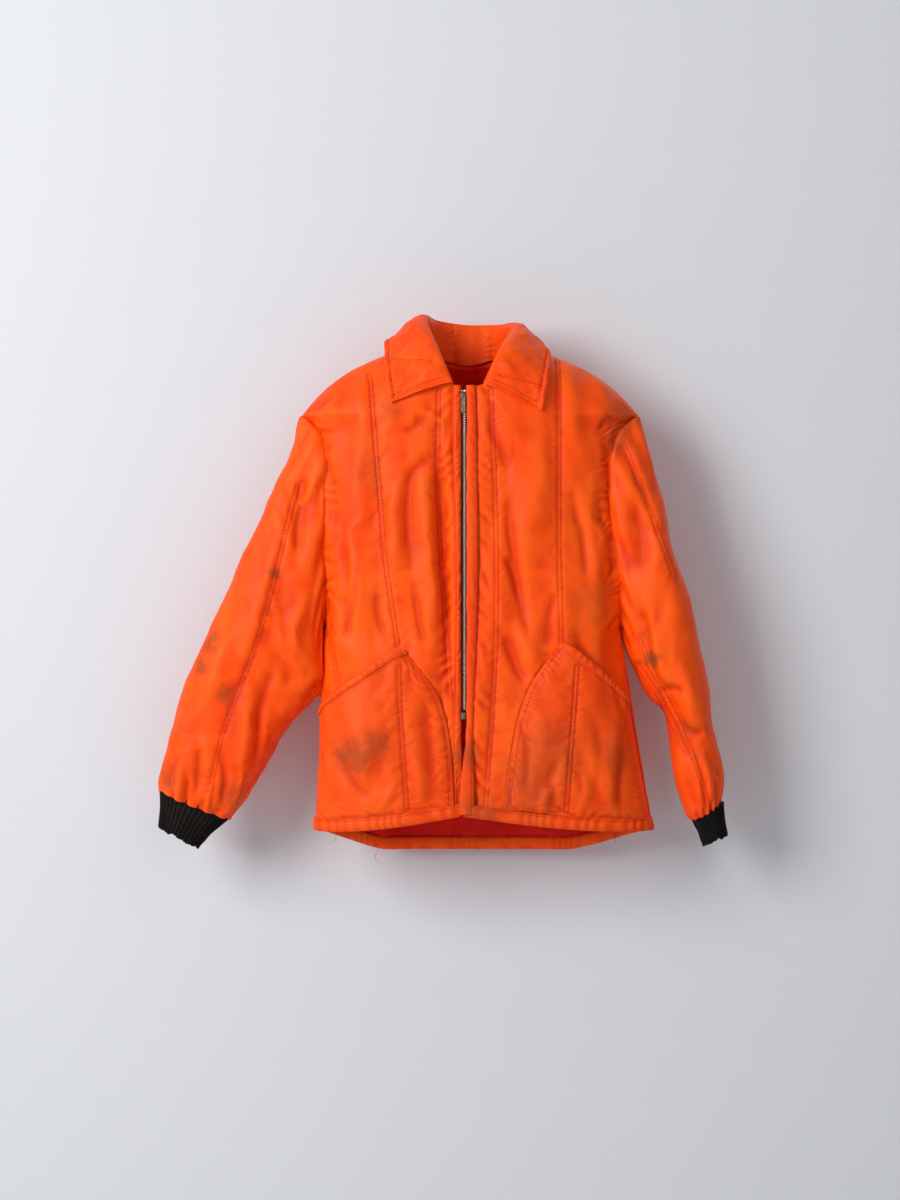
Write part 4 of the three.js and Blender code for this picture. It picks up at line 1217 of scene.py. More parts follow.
SLEEVE_FOLDS = {
    -1: [
        ([(-222, -170), (-232, -230), (-236, -300)], 10, -5),
        ([(-262, -250), (-276, -330), (-300, -420)], 14, 4),
        ([(-210, -180), (-218, -200), (-234, -220)], 6, 3),
        ([(-330, -380), (-346, -440), (-358, -500)], 16, 3.5),
        ([(-250, -400), (-246, -450), (-240, -480)], 12, -4),
        ([(-262, -430), (-280, -480), (-300, -540)], 9, -3),
        ([(-300, -480), (-306, -540), (-318, -600)], 12, 4),
        ([(-340, -560), (-334, -600), (-342, -640)], 6, -3),
        ([(-372, -540), (-372, -590), (-380, -630)], 7, -2.6),
        ([(-392, -560), (-398, -600), (-402, -625)], 6, 2.6),
        ([(-310, -580), (-318, -620), (-336, -650)], 6, 2.6),
        ([(-408, -570), (-416, -600), (-420, -620)], 5, -2),
        ([(-285, -500), (-290, -550), (-296, -590)], 7, -2.6),
        ([(-232, -440), (-250, -420), (-262, -380)], 8, 2.6),
        ([(-222, -345), (-238, -390), (-240, -440)], 10, 3.0),
        ([(-352, -600), (-358, -625), (-362, -645)], 4, 2.2),
        ([(-386, -590), (-388, -615), (-392, -636)], 4, -2.2),
    ],
    1: [
        ([(228, -190), (236, -260), (240, -330)], 12, -3), ([(262, -240), (276, -320), (286, -400)], 18, 4),
        ([(232, -350), (244, -390), (250, -430)], 8, -4), ([(250, -380), (262, -430), (290, -480)], 10, 3),
        ([(286, -420), (300, -460), (310, -520)], 12, 3), ([(264, -480), (280, -470), (300, -474)], 6, -2.6),
        ([(292, -520), (310, -530), (330, -526)], 7, -2.4),
        ([(300, -590), (306, -620), (318, -645)], 6, -2.4),
        ([(326, -560), (332, -600), (338, -630)], 7, 2.6), ([(304, -560), (316, -590), (322, -630)], 5, 2),
        ([(286, -540), (292, -580), (298, -620)], 6, 2.2), ([(342, -590), (346, -610), (346, -630)], 5, -2),
    ],
}


def sleeve_grid(sign, rows, columns):
    """Rings between the sleeve's outer and inner edges, which start at the armhole seam. The angle runs from the
    outer edge over the front to the inner edge and back behind."""
    turn = (np.arange(columns) / columns * 2 * math.pi)[None, :]
    v = np.linspace(0, 1, rows)[:, None]
    outer = spline(SLEEVE_OUTER[sign], v[:, 0])[:, None]
    inner = spline(SLEEVE_INNER[sign], v[:, 0])[:, None]
    depth = spline(np.array(SLEEVE_DEPTH[sign], float)[:, None], v)[..., 0]
    cosine = np.sign(np.cos(turn)) * np.abs(np.cos(turn)) ** 0.9
    sine = np.sign(np.sin(turn)) * np.abs(np.sin(turn)) ** 0.8
    middle, half = (outer + inner) / 2, (outer - inner) / 2
    flat = middle + half * cosine[..., None]
    ring = np.stack([sign * flat[..., 0], -depth * sine, flat[..., 1]], -1)
    seam = armhole(sign)
    share = (1 - np.cos(turn[0])) / 2
    fine = fine_path(seam, 200)
    run = np.concatenate([[0], np.cumsum(np.linalg.norm(np.diff(fine, axis=0), axis=1))])
    edge = np.stack([np.interp(share * run[-1], run, fine[:, k]) for k in range(3)], -1)
    first = np.stack([sign * (edge[:, 0] + 0.6), -np.sign(sine[0]) * edge[:, 1], edge[:, 2]], -1)
    weight = (1 - smooth(v, 0, 0.14))[..., None]
    lift = np.sqrt(1 - (1 - np.clip(v / 0.14, 0, 1)) ** 2)[..., None]
    result = first[None] * weight + ring * (1 - weight)
    result[..., 1] = first[None, :, 1] * (1 - lift[..., 0]) + ring[..., 1] * lift[..., 0]
    # The seam allowance turns in, under the edges of the front and the back.
    tuck = 1 - smooth(v, 0, 0.022)
    result[..., 0] -= sign * 8 * tuck
    result[..., 1] *= 1 - 0.16 * tuck
    result[..., 2] -= 6 * tuck * np.cos(turn)
    dip = smooth(v, 0.008, 0.025) * (1 - smooth(v, 0.03, 0.09))
    result[..., 2] -= 1.0 * dip * np.maximum(np.cos(turn), 0) ** 4
    return result, v * np.ones_like(turn), turn * np.ones_like(v)


def sleeve(sign, side):
    body = f"{side}_sleeve"

    def outward(grid):
        n = normals_of(grid, True)
        centre = grid.mean(axis=1, keepdims=True)
        return n * np.sign(np.einsum("ijk,ijk->ij", n, grid - centre).mean())

    def dressed(rows, columns):
        grid, v, turn = sleeve_grid(sign, rows, columns)
        n = outward(grid)
        x, z = grid[..., 0], grid[..., 2]
        front = smooth(-grid[..., 1], -12, 12)
        shown = quilting(x, z, SLEEVE_LINES[sign][:2], depth=2.8, reach=13, seed=25 + sign)
        shown += quilting(x, z, SLEEVE_LINES[sign][2:], depth=2.2, reach=9, pucker=0.3, seed=27 + sign)
        shown += 1.8 * folds(x, z, SLEEVE_FOLDS[sign])
        behind = folds(x, z - 18, SLEEVE_FOLDS[sign]) * 0.9 - 3.0 * bell(turn - 4.6, 0.12)
        gather = smooth(v, 0.86, 1.0)
        pleats = np.sin(turn * 13 + 1.8 * ripple(turn * 30, v * 40, 60, 35)) * 2.6 * gather * (1 - 0.35 * gather)
        cap = smooth(v, 0.0, 0.03) * (1 - smooth(v, 0.05, 0.17))
        armhole_gathers = np.sin(turn * 17 + 1.5 * ripple(turn * 40, v * 60, 50, 37)) * 1.5 * cap
        soft = 1.5 * ripple(x * 0.9, z * 0.5, 58, 45 + sign) + 0.35 * ripple(x, z * 0.7, 26, 47 + sign)
        soft *= smooth(v, 0, 0.05)
        relief = shown * front + behind * (1 - front) + pleats + armhole_gathers + soft
        return grid + n * (relief + mix(0.4, -2.0, smooth(v, 0.05, 0.25)))[..., None], v

    coarse, v = dressed(100, 64)
    pin = np.maximum(bell(v, 0.02), bell(1 - v, 0.02))
    x, z = coarse[..., 0], coarse[..., 2]
    for line in SLEEVE_LINES[sign]:
        held = bell(to_path(x, z, fine_path(line))[0], 4) * (coarse[..., 1] < 0)
        pin = np.maximum(pin, held)
    away = coarse - coarse.mean(1, keepdims=True)
    pressure = 0.3 * np.sign(np.einsum("ijk,ijk->ij", normals_of(coarse, True), away).mean())
    moved = 0.45 * settle(coarse, pin, 0.02, pressure, 5, True)
    rows, columns = 300, 200
    fine, v = dressed(rows, columns)
    fine = fine + resample(moved, rows, columns, True)
    n = outward(fine)
    edge = np.minimum(np.arange(rows), np.arange(rows)[::-1])[:, None, None]
    thick = 5.5 * (0.3 + 0.7 * np.sqrt(1 - (1 - np.clip(edge / 4, 0, 1)) ** 2))
    piece = slab(f"{side}_sleeve_quilt", fine, fine - n * thick, ORANGE, True, body=None)
    # Painted shade in the low places of the folds and sewn lines, painted highlight on their crests.
    shade(piece, hollows(fine, n, True), 1.3)
    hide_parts(f"{side}_sleeve_shell", f"{side}_sleeve_batting")
    down, turn = np.linspace(1, rows - 2, 100).astype(int), np.arange(0, columns, 3)
    inside, up = (fine - n * thick)[down][:, turn], smooth_rows(n, True)[down][:, turn]
    stand = 1.2 + np.clip(1.2 * ripple(inside[..., 0], inside[..., 2] * 0.5, 40, 51), -0.6, 2.5)
    seat = inside - up * stand[..., None]
    lining = slab(f"{side}_sleeve_liner", seat, seat - up * 0.9, RED_LINING, True, body=None, slot="lining")
    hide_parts(f"{side}_sleeve_lining")
    lay_flat(seat, True)
    return piece, lining, fine


def cuff(sign, side):
    """Rib-knit cuff: it starts inside the sleeve's last ring, draws in at once, and ends in a frayed edge."""
    rows, columns = 70, 520
    v = np.linspace(0, 1, rows)[:, None]
    turn = (np.arange(columns) / columns * 2 * math.pi)[None, :]
    low, high = span(f"{side}_cuff")
    if sign < 0:
        top = np.array([(431, -606), (329, -652)], float)
        foot = np.array([(432, -664), (375, -694)], float)
        depth = (34, 25)
    else:
        top = np.array([(357, -630), (311, -653)], float)
        foot = np.array([(363, -675), (327, -690)], float)
        depth = (36, 27)
    outer, inner = mix(top[0], foot[0], v), mix(top[1], foot[1], v)
    belly = np.sin(math.pi * v)
    middle, half = (outer + inner) / 2, (outer - inner) / 2
    narrow = 1 - 0.05 * belly
    flat = middle[:, None] + half[:, None] * np.cos(turn)[..., None] * narrow[..., None]
    y = -mix(depth[0], depth[1], v) * np.sin(turn) * narrow
    grid = np.stack([sign * flat[..., 0], y, flat[..., 1]], -1)
    n = normals_of(grid, True)
    n *= np.sign(np.einsum("ijk,ijk->ij", n, grid - grid.mean(1, keepdims=True)).mean())
    ribs = 40
    wave = np.cos(turn * ribs + 0.5 * ripple(turn * 30, v * 30, 40, 95))
    relief = 1.15 * np.sign(wave) * np.abs(wave) ** 0.6
    relief = relief + 0.35 * ripple(turn * 40, v * 60, 30, 97) + 0.2 * np.cos(v * rows * 1.1) * (wave > 0)
    fray = (0.5 + 0.5 * ripple(turn * 60, 0 * turn, 22, 99)) * smooth(v, 0.86, 1) * 7
    grid = grid + n * (relief - 1.2)[..., None]
    grid[..., 2] -= fray * 0.5 - 1.5 * smooth(v, 0.86, 1)
    piece = slab(f"{side}_cuff_rib", grid, grid - n * 2.6, KNIT, True, body=f"{side}_sleeve", slot="knit")
    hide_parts(f"{side}_cuff")
    return piece, grid, n


# ---------- collar ----------

# Curves of the collar as (x, y, z), from the wearer's right front round the back to the left front.
NECK_SEAM = [
    (-24, -74, -50), (-54, -52, -14), (-71, 2, 18), (-44, 45, 0), (0, 52, -10), (44, 45, 0), (71, 2, 16),
    (54, -52, -15), (24, -74, -50),
]
ROLL_LINE = [
    (-20, -80, -53), (-42, -64, -2), (-60, 0, 47), (-42, 46, 46), (0, 57, 41), (42, 46, 40), (65, 0, 35),
    (42, -64, -8), (20, -80, -55),
]
COLLAR_EDGE = [
    (-107, -79, -80), (-113, -68, -34), (-112, 0, 12), (-66, 66, -16), (0, 78, -24), (66, 66, -18), (112, 0, 2),
    (109, -68, -44), (101, -79, -92),
]


WING_SEAMS = [[(-125, -17), (-80, -20), (-48, -23)], [(44, -43), (70, -48), (112, -58)]]


def collar_leaf():
    """The leaf falls from the roll line to the outer edge, rounding out over its own wadding."""
    def dressed(rows, columns):
        u = np.linspace(0, 1, columns)[None, :] * np.ones((rows, 1))
        v = np.linspace(0, 1, rows)[:, None] * np.ones((1, columns))
        roll, edge = spline(ROLL_LINE, u[0]), spline(COLLAR_EDGE, u[0])
        base = roll[None] * (1 - v[..., None]) + edge[None] * v[..., None]
        out = base * np.array([1, 1, 0])
        out /= np.linalg.norm(out, axis=2, keepdims=True)
        rise = np.array([0, 0, 1.0])
        # Round at the roll, then falling close to the chest.
        arch = 9.5 * np.sin(math.pi * v**0.55) ** 1.0 * (1 - 0.5 * v)
        wing = np.abs(u - 0.5) * 2
        lift = arch * 0.55 * (1 - 0.6 * smooth(wing, 0.6, 1))
        base = base + out * (arch * 0.7)[..., None] + rise * lift[..., None]
        grid = base
        n = normals_of(grid)
        n = n * np.sign(np.einsum("ijk,ijk->ij", n, out).mean())
        run = u * 620
        drop = v * 68
        rim = np.minimum(68 - drop, np.minimum(run, 620 - run) * 0.9)
        seam = -1.5 * bell(rim - 6.5, 2.2) + 0.8 * bell(rim - 3, 2.6)
        ahead = grid[..., 1] < -20
        crossing = [to_path(grid[..., 0], grid[..., 2], line)[0] for line in WING_SEAMS]
        line = np.minimum(np.abs(crossing[0]), np.abs(crossing[1]))
        crease = -1.5 * bell(line, 2.2) * ahead
        phase = (run + 0.5 * drop) / 10 + 0.8 * ripple(run, drop, 60, 101)
        pucker = 0.55 * np.sin(2 * math.pi * phase) * (bell(rim - 9, 6) + bell(line, 8) * ahead)
        soft = 0.9 * ripple(run, drop, 40, 103) + 0.35 * ripple(run, drop, 16, 105)
        return grid + n * ((seam + crease + pucker + soft) * smooth(v, 0, 0.15))[..., None], n

    rows, columns = 90, 420
    outer, n = dressed(rows, columns)
    n = smooth_rows(n)
    from_side = np.minimum(np.arange(columns), np.arange(columns)[::-1])
    lip = np.minimum(np.arange(rows)[::-1][:, None] / 5, from_side / 7)
    thick = 4.6 * (0.15 + 0.85 * np.sqrt(1 - (1 - np.clip(lip, 0, 1)) ** 2))
    piece = slab("collar_fall", outer, outer - n * thick[..., None], ORANGE)
    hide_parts("collar_leaf", "undercollar", "collar_interlining")
    up = np.cross(np.gradient(outer, axis=1), np.gradient(outer, axis=0))
    up *= np.sign(np.einsum("ijk,ijk->ij", up, n))[..., None]
    inset = rows - 9
    stitch_row("collar_edge_stitches", outer[inset, 8:-8], up[inset, 8:-8])
    for name, column in (("right", 9), ("left", columns - 10)):
        stitch_row(f"{name}_collar_end_stitches", outer[8:inset, column], up[8:inset, column])
    tree = tree_of(piece)
    for name, line in zip(("right", "left"), WING_SEAMS):
        sew(f"{name}_collar_wing_stitches", tree, np.array(line)[:, :] * (0.93, 1))
    return piece, outer


def smooth_rows(n, around=False):
    """Normals averaged with their neighbours, so that a thick slab doesn't fold on itself."""
    for _ in range(6):
        n = n + np.roll(n, 1, 0) + np.roll(n, -1, 0)
        n[0], n[-1] = n[1], n[-2]
        n = n + np.roll(n, 1, 1) + np.roll(n, -1, 1)
        if not around:
            n[:, 0], n[:, -1] = n[:, 1], n[:, -2]
        n /= np.linalg.norm(n, axis=2, keepdims=True)
    return n


def collar_stand():
    """The stand rises from the neck seam to the roll line, quilted by short upright seams."""
    rows, columns = 40, 300
    u = np.linspace(0.01, 0.99, columns)[None, :] * np.ones((rows, 1))
    v = np.linspace(0, 1, rows)[:, None] * np.ones((1, columns))
    low, high = spline(NECK_SEAM, u[0]), spline(ROLL_LINE, u[0])
    low[:, 2] -= 8
    base = low[None] * (1 - v[..., None]) + high[None] * v[..., None]
    out = base * np.array([1, 1, 0])
    out /= np.linalg.norm(out, axis=2, keepdims=True)
    base = base - out * (1 - v[..., None]) * 2
    run = u * 400
    quilt = -2.0 * bell((run - 12) % 66 - 33, 3.0)
    pucker = 0.6 * np.sin(2 * math.pi * (v * 5 + 0.7 * ripple(run, v * 40, 40, 111))) * bell((run - 12) % 66 - 33, 12)
    soft = 0.7 * ripple(run, v * 50, 36, 113)
    thick = (4.0 + quilt + pucker + soft + 2.0 * np.sin(math.pi * v)) * (1 - 0.75 * smooth(v, 0.85, 1)) + 0.6
    inner_face = base - out * thick[..., None]
    piece = slab("collar_stand_quilt", base, inner_face, ORANGE)
    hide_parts("collar_stand", "collar_stand_facing")
    return piece


# ---------- zip ----------

def rounded_box(centre, size):
    """Points and faces of a small block with chamfered edges, as a loft of four octagons."""
    sx, sy, sz = np.asarray(size, float) / 2
    k, chamfer = 0.68, 0.72
    ring = np.array([(1, k), (k, 1), (-k, 1), (-1, k), (-1, -k), (-k, -1), (k, -1), (1, -k)], float)
    layers = [(-1, chamfer), (-chamfer, 1), (chamfer, 1), (1, chamfer)]
    points = np.array([(x * s * sx, h * sy, z * s * sz) for h, s in layers for x, z in ring])
    faces = grid_faces(4, 8, True)
    cap = np.array([[0, 1, 2, 3], [0, 3, 4, 7], [4, 5, 6, 7]])
    faces = facing_out(points, np.concatenate([faces, cap[:, ::-1], cap + 24]))
    return points + np.asarray(centre, float), faces


def many(shape, places):
    """One mesh of a small shape repeated at many places."""
    points, faces = shape
    all_points = points[None] + np.asarray(places, float)[:, None]
    all_faces = faces[None] + len(points) * np.arange(len(places))[:, None, None]
    return all_points.reshape(-1, 3), all_faces.reshape(-1, 4)


def joined(parts):
    """Several meshes as one."""
    points, faces, start = [], [], 0
    for p, f in parts:
        points.append(p)
        faces.append(f + start)
        start += len(p)
    return np.concatenate(points), np.concatenate(faces)


def zip_side(sign, side):
    low, high = span(f"{side}_zip_teeth")
    pitch = 3.3
    z = np.arange(high[2] - 1.5 - (pitch / 2 if sign > 0 else 0), low[2] + 1, -pitch)
    reach = high[0] - low[0]
    centre = (low[0] + high[0]) / 2
    ones = np.ones_like(z)
    tooth = rounded_box((0, 0, 0), (reach * 0.9, 2.6, 1.5))
    nib = rounded_box((0, 0, 0), (0.9, 1.9, 0.9))
    teeth = many(tooth, np.stack([centre * ones, ZIP_Y * ones, z], -1))
    nibs = many(nib, np.stack([(ZIP_X + sign * 0.75) * ones, ZIP_Y * ones, z], -1))
    points, faces = joined([teeth, nibs])
    # The wearer's right row is painted darker: painted shade under the placket's fold.
    piece = add_mesh(f"{side}_zip_row", points, faces, TEETH if sign > 0 else TEETH_SHADED, slot="zip_metal")
    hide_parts(f"{side}_zip_teeth")

    low, high = span(f"{side}_zip_tape")
    rows, columns = 200, 7
    zz = np.linspace(high[2] + 3, low[2], rows)[:, None] * np.ones((1, columns))
    near = ZIP_X + sign * 3.4
    far = high[0] if sign > 0 else low[0]
    x = near + (far - near) * 0.78 * np.linspace(0, 1, columns)[None, :] * np.ones((rows, 1))
    y = ZIP_Y + 0.25 * ripple(x, zz, 30, 121)
    outer = np.stack([x, y - 0.4, zz], -1)
    tape = slab(f"{side}_zip_webbing", outer, outer + np.array([0, 0.8, 0]), TAPE, slot="zip_tape")
    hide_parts(f"{side}_zip_tape")

    low, high = span(f"{side}_zip_top_stop")
    stop = rounded_box((low + high) / 2, high - low)
    stop_piece = add_mesh(f"{side}_zip_stop", *stop, TEETH, slot="zip_metal")
    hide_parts(f"{side}_zip_top_stop")


def zip_slider():
    """Slider: front and back plates with shoulders, a post between them and an arched crown over the tab's bar."""
    low, high = span("zip_slider")
    cx, cz = (low[0] + high[0]) / 2, (low[2] + high[2]) / 2
    width, height = high[0] - low[0], high[2] - low[2]
    parts = []
    rows = 26
    t = np.linspace(-1, 1, rows)
    half = width / 2 * (0.80 + 0.20 * np.tanh((t + 0.1) * 3)) * np.sqrt(np.clip(1 - np.abs(t) ** 10, 0.08, 1))
    for y0, sign in ((ZIP_Y - 1.6, -1), (ZIP_Y + 1.6, 1)):
        s = np.linspace(-1, 1, 17)
        x = cx + half[:, None] * s[None, :]
        z = cz + height / 2 * t[:, None] * np.ones((1, 17))
        dome = 1.2 * np.sqrt(np.clip(1 - 0.55 * s[None, :] ** 2 - 0.3 * t[:, None] ** 2, 0, 1))
        outer = np.stack([x, y0 + sign * dome, z], -1)
        inner = np.stack([x, np.full_like(x, y0), z], -1)
        count = outer.shape[0] * outer.shape[1]
        number = np.arange(count).reshape(outer.shape[:2])
        faces = [grid_faces(rows, 17), grid_faces(rows, 17, flip=True, start=count)]
        faces += [rim_faces(number[0], number[0] + count), rim_faces(number[-1], number[-1] + count, True)]
        faces += [rim_faces(number[:, 0], number[:, 0] + count, True)]
        faces += [rim_faces(number[:, -1], number[:, -1] + count)]
        points = np.concatenate([outer.reshape(-1, 3), inner.reshape(-1, 3)])
        parts.append((points, facing_out(points, np.concatenate(faces))))
    parts.append(rounded_box((cx, ZIP_Y, cz + height / 2 - 1.8), (0.9, 3.4, 3.0)))
    # Crown: an arch of round bar over the tab's bar.
    a = np.linspace(0, math.pi, 18)
    path = np.stack([np.full_like(a, cx), ZIP_Y - 2.6 - 2.1 * np.sin(a) ** 0.7, cz + 1.0 + 3.1 * np.cos(a)], -1)
    parts.append(bar_along(path, 0.7, 0.5))
    points, faces = joined(parts)
    piece = add_mesh("zip_slider_body", points, faces, NICKEL, "slider", "slider_metal")
    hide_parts("zip_slider")


def bar_along(path, wide, tall, sides=10):
    """A closed bar with an elliptic section carried along a path."""
    heading = np.gradient(path, axis=0)
    heading /= np.linalg.norm(heading, axis=1, keepdims=True)
    across = np.array([1.0, 0, 0]) * np.ones_like(path)
    up = np.cross(heading, across)
    ring = np.linspace(0, 2 * math.pi, sides, endpoint=False)
    points = (path[:, None] + across[:, None] * (wide * np.cos(ring))[None, :, None]
              + up[:, None] * (tall * np.sin(ring))[None, :, None])
    rows = len(path)
    faces = grid_faces(rows, sides, True)
    points = points.reshape(-1, 3)
    ends = []
    for start, flip in ((0, False), ((rows - 1) * sides, True)):
        fan = [[start, start + k, start + k + 1, start + k + 2] for k in range(1, sides - 2, 2)]
        ends += [f[::-1] for f in fan] if flip else fan
    ends = np.array(ends)
    merged = np.concatenate([faces, ends[:, ::-1]])
    return points, facing_out(points, merged)


def pull_tab():
    """Flat tab with a window at its root and a pressed rim, hanging from a bar in the crown."""
    low, high = span("zip_pull_tab")
    cx, y = (low[0] + high[0]) / 2, (low[1] + high[1]) / 2
    top, foot = high[2] - 0.2, low[2]
    rows, columns = 60, 21
    t = np.linspace(0, 1, rows)[:, None]
    s = np.linspace(-1, 1, columns)[None, :]
    half = 1.95 + 0.55 * smooth(t, 0.1, 0.55)
    end = np.sqrt(np.clip(1 - np.clip((t - 0.9) / 0.1, 0, 1) ** 2 * 0.75, 0, 1))
    root = np.sqrt(np.clip(1 - np.clip((0.06 - t) / 0.06, 0, 1) ** 2 * 0.6, 0, 1))
    x = cx + half * end * root * s
    z = mix(top, foot, t) * np.ones_like(s)
    rim = 0.22 * smooth(np.abs(s), 0.62, 0.82) * np.ones_like(t) + 0.18 * smooth(t, 0.9, 0.95)
    outer = np.stack([x, y - 0.35 - rim, z], -1)
    inner = np.stack([x, y + 0.35 + rim * 0.6, z], -1)
    window = (np.abs(s) < 0.5) & (t > 0.035) & (t < 0.3)
    keep = ~(window[:-1] & window[1:])[:, :-1] | ~(window[:-1] & window[1:])[:, 1:]
    count = rows * columns
    quads = grid_faces(rows, columns)
    solid = keep.ravel()
    number = np.arange(count).reshape(rows, columns)
    faces = [quads[solid], (quads[:, ::-1] + count)[solid]]
    # Walls wherever a kept cell has no kept neighbour.
    cell = np.zeros((rows + 1, columns + 1), bool)
    cell[1:-1, 1:-1] = keep
    a, b, c, d = number[:-1, :-1], number[:-1, 1:], number[1:, 1:], number[1:, :-1]
    walls = []
    for first, last, beyond in ((b, a, cell[:-2, 1:-1]), (d, c, cell[2:, 1:-1]),
                                (a, d, cell[1:-1, :-2]), (c, b, cell[1:-1, 2:])):
        edge = keep & ~beyond
        walls.append(np.stack([first[edge], last[edge], last[edge] + count, first[edge] + count], -1))
    points = np.concatenate([outer.reshape(-1, 3), inner.reshape(-1, 3)])
    faces = facing_out(points, np.concatenate(faces + walls))
    piece = add_mesh("zip_pull_plate", points, faces, NICKEL, "pull_tab", "slider_metal")
    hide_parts("zip_pull_tab")


def zip_foot():
    low, high = span("zip_retainer_box")
    box = rounded_box((low + high) / 2, high - low)
    piece = add_mesh("zip_box", *box, NICKEL, slot="slider_metal")
    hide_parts("zip_retainer_box", "zip_insertion_pin")


# ---------- loose threads ----------

def loose_thread(name, start, points, body, material, radius=0.25):
    """A stray thread: a thin bar along a curl."""
    path = spline(np.asarray(start) + np.array(points, float), np.linspace(0, 1, 30))
    add_mesh(name, *bar_along(path, radius, radius, 6), material, body)


# ---------- making everything ----------

for sign, side in ((-1, "right"), (1, "left")):
    front = front_panel(sign, side)
    placket(sign, side)
    fly_facing(sign, side)
    tree = tree_of(front)
    for number, line in enumerate(QUILT_LINES[sign]):
        for twin, path in zip("ab", twin_paths(line)):
            sew(f"{side}_front_stitches_{number}{twin}", tree, path)
    pocket_piece, binding, pocket_points = pocket(sign, side)
    tree = tree_of(pocket_piece, binding)
    for number, line in enumerate(POCKET_LINES[sign]):
        for twin, path in zip("ab", twin_paths(line)):
            sew(f"{side}_pocket_stitches_{number}{twin}", tree, path)
    columns = pocket_points.shape[1]
    mouth = pocket_points[9, 2:-2][:, [0, 2]]
    sew(f"{side}_pocket_mouth_stitches", tree, mouth)
    inner = pocket_points[2:-2, 4][:, [0, 2]]
    sew(f"{side}_pocket_edge_stitches", tree, inner)
    band = hem_band(f"{side}_front_hem_roll", front_stretch(sign), (0, -1, 0), f"{side}_front_hem_band")
    stretch = front_stretch(sign)
    tree = tree_of(band)
    sew(f"{side}_front_hem_stitches", tree, stretch[2, 1:-6][:, [0, 2]])
    tree = tree_of(bpy.data.objects[f"{side}_placket_roll"], front)
    sew(f"{side}_placket_stitches", tree, np.array(PLACKET_SEAM[sign]) + (sign * 1.0, 0))
    zip_side(sign, side)

back_panel()
hem_band("back_hem_roll", back_stretch(), (0, 1, 0), "back_hem_band")
back_hem_facing()
tree = tree_of(bpy.data.objects["back_quilt"])
for number, line in enumerate(BACK_LINES):
    for twin, path in zip("ab", twin_paths(line)):
        sew(f"back_stitches_{number}{twin}", tree, path, from_back=True)

for sign, side in ((-1, "right"), (1, "left")):
    quilt, liner, points = sleeve(sign, side)
    tree = tree_of(quilt)
    rows = []
    for number, line in enumerate(SLEEVE_LINES[sign]):
        for twin, path in zip("ab", twin_paths(line)):
            rows.append(sew(f"{side}_sleeve_stitches_{number}{twin}", tree, path, None))
    for piece in [quilt, liner] + [r for r in rows if r]:
        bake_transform(piece)
    cuff(sign, side)

collar_leaf()
collar_stand()
for name, start, curl in (
    ("right_hem_thread", (-186, -8, -668), [(0, 0, 0), (4, -6, -6), (1, -8, -14), (-6, -8, -20)]),
    ("back_hem_thread", (-125, 48, -699), [(0, 0, 0), (-4, -4, -8), (-5, -6, -16), (2, -7, -22)]),
    ("left_hem_thread", (199, -14, -668), [(0, 0, 0), (3, -4, -5), (6, -6, -12), (4, -7, -17)]),
):
    loose_thread(name, start, curl, "jacket", RED_THREAD)
zip_slider()
pull_tab()
zip_foot()


# ---------- stage, light and camera ----------

def wall_finish():
    """Pale painted wall that shows only its front and lets the light from behind pass."""
    finish = Finish("pale_wall", **{"Roughness": 0.9, "Specular IOR Level": 0.1})
    finish.shader.inputs["Base Color"].default_value = (0.62, 0.63, 0.65, 1)
    tree = finish.tree
    clear = tree.nodes.new("ShaderNodeBsdfTransparent")
    chooser = tree.nodes.new("ShaderNodeMixShader")
    facing = tree.nodes.new("ShaderNodeNewGeometry")
    path = tree.nodes.new("ShaderNodeLightPath")
    either = tree.nodes.new("ShaderNodeMath")
    either.operation = "MAXIMUM"
    tree.links.new(facing.outputs["Backfacing"], either.inputs[0])
    tree.links.new(path.outputs["Is Shadow Ray"], either.inputs[1])
    tree.links.new(either.outputs[0], chooser.inputs[0])
    tree.links.new(finish.shader.outputs[0], chooser.inputs[1])
    tree.links.new(clear.outputs[0], chooser.inputs[2])
    tree.links.new(chooser.outputs[0], tree.nodes["Material Output"].inputs["Surface"])
    return finish.material


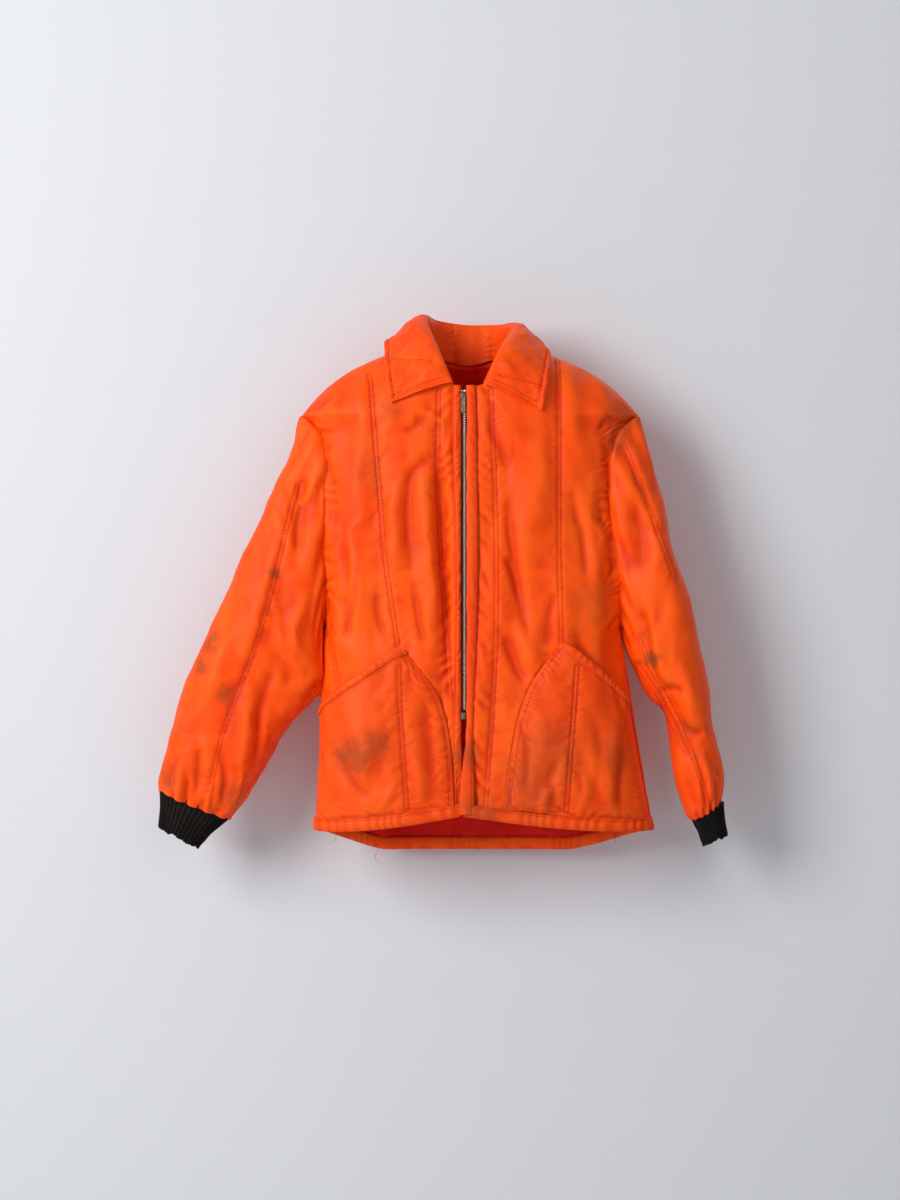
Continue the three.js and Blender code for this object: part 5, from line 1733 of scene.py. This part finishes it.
def stage_plane(name, corners, material):
    mesh = bpy.data.meshes.new(name)
    mesh.from_pydata(corners, [], [(0, 1, 2, 3)])
    plane = bpy.data.objects.new(name, mesh)
    bpy.context.scene.collection.objects.link(plane)
    mesh.materials.append(material)


PALE = wall_finish()
WALL_Y = 0.115
FLOOR_Z = -1.45
stage_plane("backdrop", [(-3, WALL_Y, FLOOR_Z), (3, WALL_Y, FLOOR_Z), (3, WALL_Y, 2), (-3, WALL_Y, 2)], PALE)
stage_plane("floor", [(-3, -4, FLOOR_Z), (3, -4, FLOOR_Z), (3, 4, FLOOR_Z), (-3, 4, FLOOR_Z)], PALE)


def area_light(name, place, target, size, power, colour):
    data = bpy.data.lights.new(name, "AREA")
    data.shape = "RECTANGLE"
    data.size, data.size_y = size
    data.energy = power
    data.color = colour
    lamp = bpy.data.objects.new(name, data)
    lamp.location = place
    lamp.rotation_euler = (Vector(target) - Vector(place)).to_track_quat("-Z", "Y").to_euler()
    bpy.context.scene.collection.objects.link(lamp)


area_light("window", (-2.25, -2.5, 0.7), (0, 0, -0.3), (1.5, 2.0), 112, (0.985, 0.99, 1.0))
area_light("room", (1.4, -3.2, 0.9), (0, 0, -0.3), (2.6, 2.6), 16, (1.0, 0.99, 0.97))
area_light("behind", (0.6, 2.6, 1.0), (0, 0, -0.3), (2.4, 2.4), 30, (1.0, 0.99, 0.97))

world = bpy.data.worlds.new("studio")
bpy.context.scene.world = world
world.use_nodes = True
world.node_tree.nodes["Background"].inputs[0].default_value = (0.93, 0.95, 1.0, 1)
world.node_tree.nodes["Background"].inputs[1].default_value = 0.36

VIEW_HEIGHT = 1.644  # height of the picture at the jacket's front
DISTANCE = 3.2
camera_data = bpy.data.cameras.new("camera")
camera_data.sensor_fit = "VERTICAL"
camera_data.angle = 2 * math.atan(VIEW_HEIGHT / 2 / DISTANCE)
camera = bpy.data.objects.new("camera", camera_data)
camera.location = (-0.0247, -0.06 - DISTANCE, -0.349)
camera.rotation_euler = (math.radians(90), 0, 0)
bpy.context.scene.collection.objects.link(camera)
bpy.context.scene.camera = camera
bpy.context.scene.view_settings.view_transform = "Standard"
